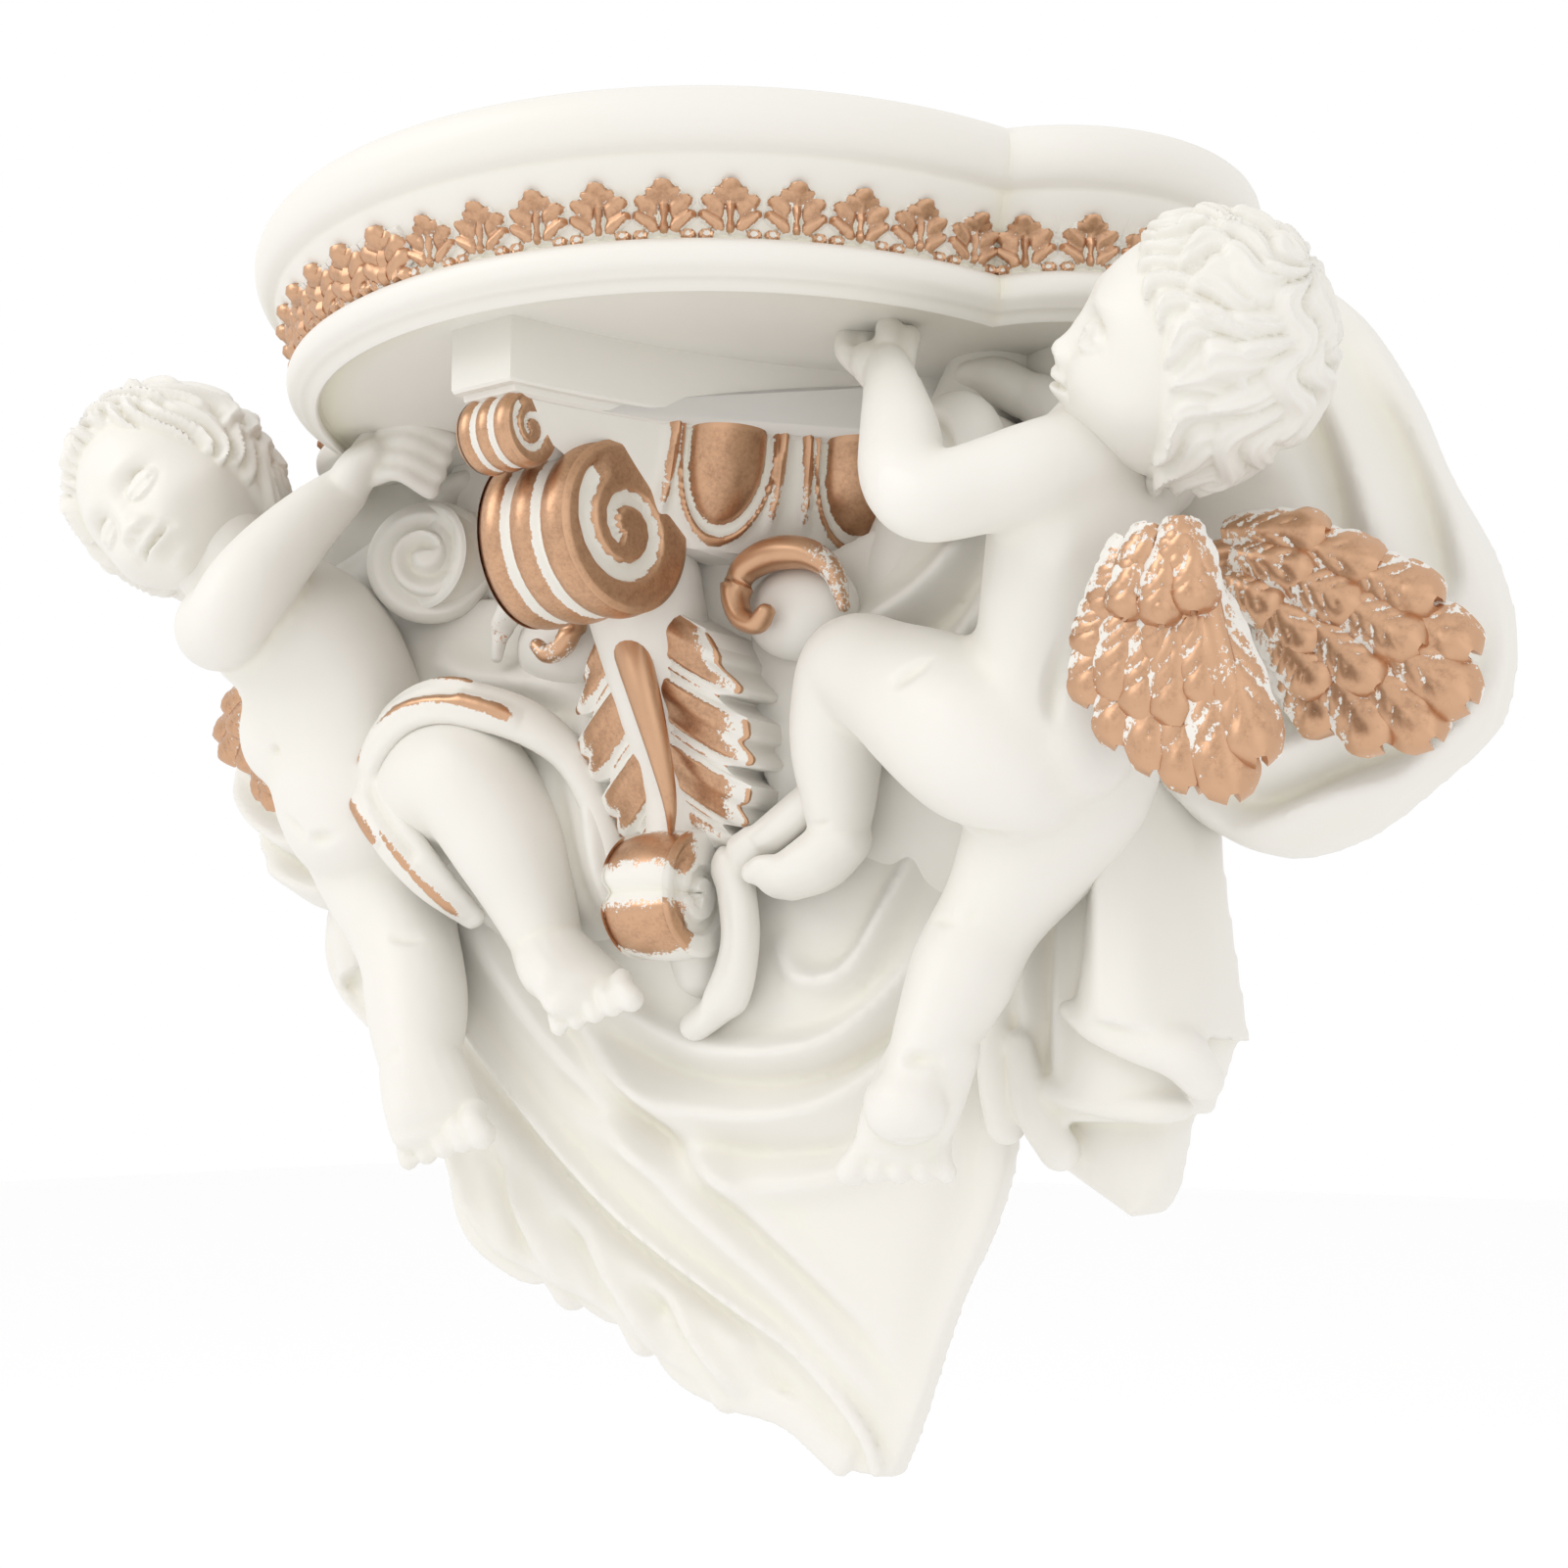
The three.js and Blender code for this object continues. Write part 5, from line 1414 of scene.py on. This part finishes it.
def leaf_sheet():
    shape = {}

    def place(u, v):
        x = 2 * u - 1
        s = 3.9 * v
        phase = s % 1.0
        half = np.interp(s, [0, 0.6, 1.5, 2.6, 3.4, 3.9], [22, 33, 34, 26, 16, 3])
        half = half * (1 - 0.26 * bell(phase, 0.9, 0.14) - 0.10 * bell(phase, 0.42, 0.1))
        side = np.abs(x) * half
        z = LEAF_TOP - FIELD_PITCH * s - 0.85 * side + 0.006 * side**2 + 6 * ramp(s, 2.6, 3.9)
        spine = np.interp(z + 0.5 * side, [-110, -95, -80, -60, -45, -34], [-46, -52, -59, -66, -69, -69])
        field = ramp(phase, 0.0, 0.10) * (1 - ramp(phase, 0.68, 0.80))
        thread = 0.6 * bell(phase, 0.89, 0.05)
        out = np.abs(x)
        lift = (2.4 * field * (0.75 + 0.25 * np.cos(2 * np.pi * (phase - 0.3) * 1.6)) + 1.9 * thread) * ramp(out, 0.04, 0.2)
        lift = lift * (1 - 0.6 * ramp(out, 0.8, 1.0))
        curve = 0.26 * half * np.maximum(out - 0.1, 0) ** 2 * (1.0 + 0.4 * (x < 0))
        gold = np.maximum(field, ramp(thread, 0.35, 0.7)) * ramp(out, 0.05, 0.16)
        shape["gilt"] = gold * (0.9 - 0.8 * ramp(out, 0.66, 1.0)) * (1 - 0.6 * ramp(s, 2.6, 3.5))
        return np.column_stack([1.5 + x * half, spine - lift + curve, z])

    obj = sheet(90, 150, place)
    note(obj, "gilt", shape["gilt"])
    obj = back_to_wall(obj, -20)
    gilt = noted(obj, "gilt")
    gilt[places(obj)[:, 1] > -21] = -1.5
    note(obj, "gilt", gilt)
    return obj


def make_capital():
    """The bell under the abacus, from which the scrolls and the stem spring."""
    parts = []
    for side in (1, -1):
        parts.append(limb([[side * 100, -22, 25, 18, 14], [side * 90, -22, 3, 20, 16], [side * 71, -22, -33, 20, 18],
                           [side * 54, -20, -69, 18, 18]], around=28))
    parts.append(limb([[0, -30, 4, 42, 30], [0, -26, -26, 40, 24], [0, -24, -60, 32, 22], [0, -24, -100, 26, 22]],
                      across=(1, 0, 0), around=40))
    obj = fuse(parts, "capital", 1.8, 6)
    trim_at_wall(obj)
    settle(thin(obj, 20000), resin, reach=10, angle=60)


def make_sashes():
    left = [limb([[-108, -62, -100, 8, 5], [-105, -70, -88, 8.5, 5], [-99, -75, -76, 8.5, 5], [-87, -77, -67, 8, 5],
                  [-72, -76, -64, 8, 5], [-57, -71, -67, 8, 5], [-44, -63, -73, 7.5, 5], [-35, -54, -84, 6, 5],
                  [-29, -47, -104, 5, 5], [-25, -42, -128, 4, 5]], across=(0, 0.4, 1), around=24)]
    left.append(limb([[-106, -72, -84, 8.5, 5.5], [-100, -75, -95, 8.5, 5.5], [-93, -72, -107, 9, 5.5], [-86, -63, -120, 8, 4.5],
                      [-80, -50, -131, 5, 3]], across=(1, 0, 0.3), around=24))
    obj = fuse(left, "knee_sash", 1.1, 3)
    points, out = places(obj), normals(obj)
    gilt = np.zeros(len(points))
    for path, width, depth, gold in (
        ([[-108, -78, -86], [-101, -83, -74], [-88, -84, -66], [-72, -83, -63], [-56, -78, -66], [-44, -70, -72]], 2.6, 2.4, 0.95),
        ([[-104, -76, -68], [-90, -79, -59], [-74, -78, -56], [-58, -74, -59]], 1.6, 1.6, 0.75),
        ([[-104, -81, -86], [-99, -83, -96], [-92, -79, -108], [-85, -69, -121], [-80, -54, -131]], 1.8, 1.8, 0.7),
        ([[-110, -76, -92], [-104, -79, -98], [-96, -77, -108]], 2.4, 1.6, 0.8),
        ([[-98, -84, -70], [-82, -84, -62], [-62, -79, -62]], 1.8, -2.0, 0),
        ([[-100, -81, -88], [-93, -79, -100], [-85, -72, -114]], 2.0, -2.0, 0),
    ):
        before = points.copy()
        stroke(points, out, smooth_path(path), 2 * width, depth, taper=0.1)
        if gold:
            moved = np.linalg.norm(points - before, axis=1) / abs(depth)
            gilt = np.maximum(gilt, gold * ramp(moved, 0.3, 0.75))
    put(obj, points)
    note(obj, "gilt", gilt)
    settle(obj, resin, reach=6, angle=60)
    right = [limb([[58, -40, -92, 8, 6], [46, -44, -102, 8, 6], [32, -46, -112, 7, 6], [20, -46, -118, 6, 6],
                   [22, -46, -126, 6, 6], [22, -44, -142, 6, 6], [14, -40, -158, 7, 5], [0, -36, -166, 6, 5]],
                  across=(1, 0, 0.6), around=24)]
    obj = fuse(right, "foot_sash", 1.1, 3)
    points, out = places(obj), normals(obj)
    for path, width, depth in (
        ([[52, -52, -94], [40, -54, -104], [26, -54, -114]], 3, -1.8),
        ([[22, -54, -126], [22, -52, -142], [14, -48, -156]], 3, -1.8),
    ):
        stroke(points, out, smooth_path(path), width, depth)
    put(obj, points)
    settle(obj, resin, reach=8, angle=60)


def make_swags():
    """Cloth gathered between the figures and the bracket, left and right of its stem."""
    def depth_left(u, v):
        mass = spline([[44], [50], [53], [44], [8]], v)[:, 0]
        return mass - 9 * ramp(u, 0.7, 1.0)

    def depth_right(u, v):
        return spline([[40], [42], [40], [28], [4]], v)[:, 0]

    left = make_drape(
        [[-128, -14], [-124, -50], [-112, -84], [-96, -122], [-70, -156]],
        [[-14, -36], [-15, -70], [-15, -100], [-12, -130], [-8, -160]], depth_left,
        [([[-104, -40], [-84, -50], [-60, -55], [-34, -60]], 4.6, 6), ([[-104, -50], [-84, -60], [-60, -64], [-36, -68]], 3.4, -4.5),
         ([[-102, -60], [-84, -68], [-62, -72], [-40, -78]], 4, 5), ([[-36, -64], [-31, -90], [-28, -120], [-24, -150]], 4, 6),
         ([[-25, -60], [-22, -90], [-19, -120]], 3, -4), ([[-46, -80], [-41, -110], [-36, -142]], 3.4, -4)], 70, 70)
    right = make_drape(
        [[22, -34], [24, -70], [30, -110], [42, -156]], [[118, -4], [116, -50], [112, -95], [98, -150]], depth_right,
        [([[112, -14], [94, -36], [74, -48], [50, -54]], 4.6, 7), ([[112, -26], [96, -48], [76, -58], [50, -64]], 3.6, -5),
         ([[112, -40], [98, -60], [78, -70], [52, -76]], 4.6, 6), ([[110, -54], [98, -72], [78, -82], [56, -90]], 3.6, -4)],
        70, 70)
    obj = trim_at_wall(fuse([left, right], "swags", 1.5, 2))
    settle(thin(obj, 30000), resin, reach=9, angle=60)


def make_camera():
    right = Vector((0.8236, 0.5671, 0.0009))
    up = Vector((0.0764, -0.1124, 0.9907))
    back = Vector((0.5620, -0.8159, -0.1359))
    data = bpy.data.cameras.new("camera")
    data.lens = 48.11
    data.sensor_width = 36
    data.clip_start = 0.01
    camera = bpy.data.objects.new("camera", data)
    bpy.context.scene.collection.objects.link(camera)
    turn = Matrix((right, up, back)).transposed().to_4x4()
    camera.matrix_world = Matrix.Translation(Vector((388.5, -553.0, -180.0)) * MM) @ turn
    bpy.context.scene.camera = camera


def area_light(name, at, size, power, target=(0, -60, -90), colour=(1, 1, 1)):
    data = bpy.data.lights.new(name, "AREA")
    data.size = size
    data.energy = power
    data.color = colour
    lamp = bpy.data.objects.new(name, data)
    bpy.context.scene.collection.objects.link(lamp)
    lamp.location = Vector(at) * MM
    lamp.rotation_euler = (Vector(target) * MM - lamp.location).to_track_quat("-Z", "Y").to_euler()


def make_studio():
    bpy.ops.mesh.primitive_plane_add(size=14, location=(0, 0, -0.62))
    floor = bpy.context.object
    floor.name = "floor"
    pale = bpy.data.materials.new("pale floor")
    pale.use_nodes = True
    shader = pale.node_tree.nodes["Principled BSDF"]
    shader.inputs["Base Color"].default_value = (0.98, 0.98, 0.98, 1)
    shader.inputs["Roughness"].default_value = 0.9
    floor.data.materials.append(pale)
    world = bpy.data.worlds.new("studio")
    world.use_nodes = True
    world.node_tree.nodes["Background"].inputs["Color"].default_value = (1, 1, 1, 1)
    world.node_tree.nodes["Background"].inputs["Strength"].default_value = 1.0
    bpy.context.scene.world = world
    area_light("key", (-700, -1500, 900), 1.1, 8)
    area_light("fill", (1500, -1300, 300), 1.6, 2.5)
    bpy.context.scene.view_settings.view_transform = "Standard"


make_camera()
make_studio()
make_shelf()
make_leaf_band()
make_abacus()
make_echinus()
make_scrolls()
make_capital()
make_bracket()
make_tail()
make_curtain(1, "right_curtain")
make_curtain(-1, "left_curtain")
make_puff(1, "right_puff")
make_puff(-1, "left_puff")
make_sashes()
make_swags()
make_body(RIGHT_POSE, "right_cherub")
make_body(LEFT_POSE, "left_cherub")
make_head(RIGHT_POSE, "right_head")
make_head(LEFT_POSE, "left_head")
make_wings()
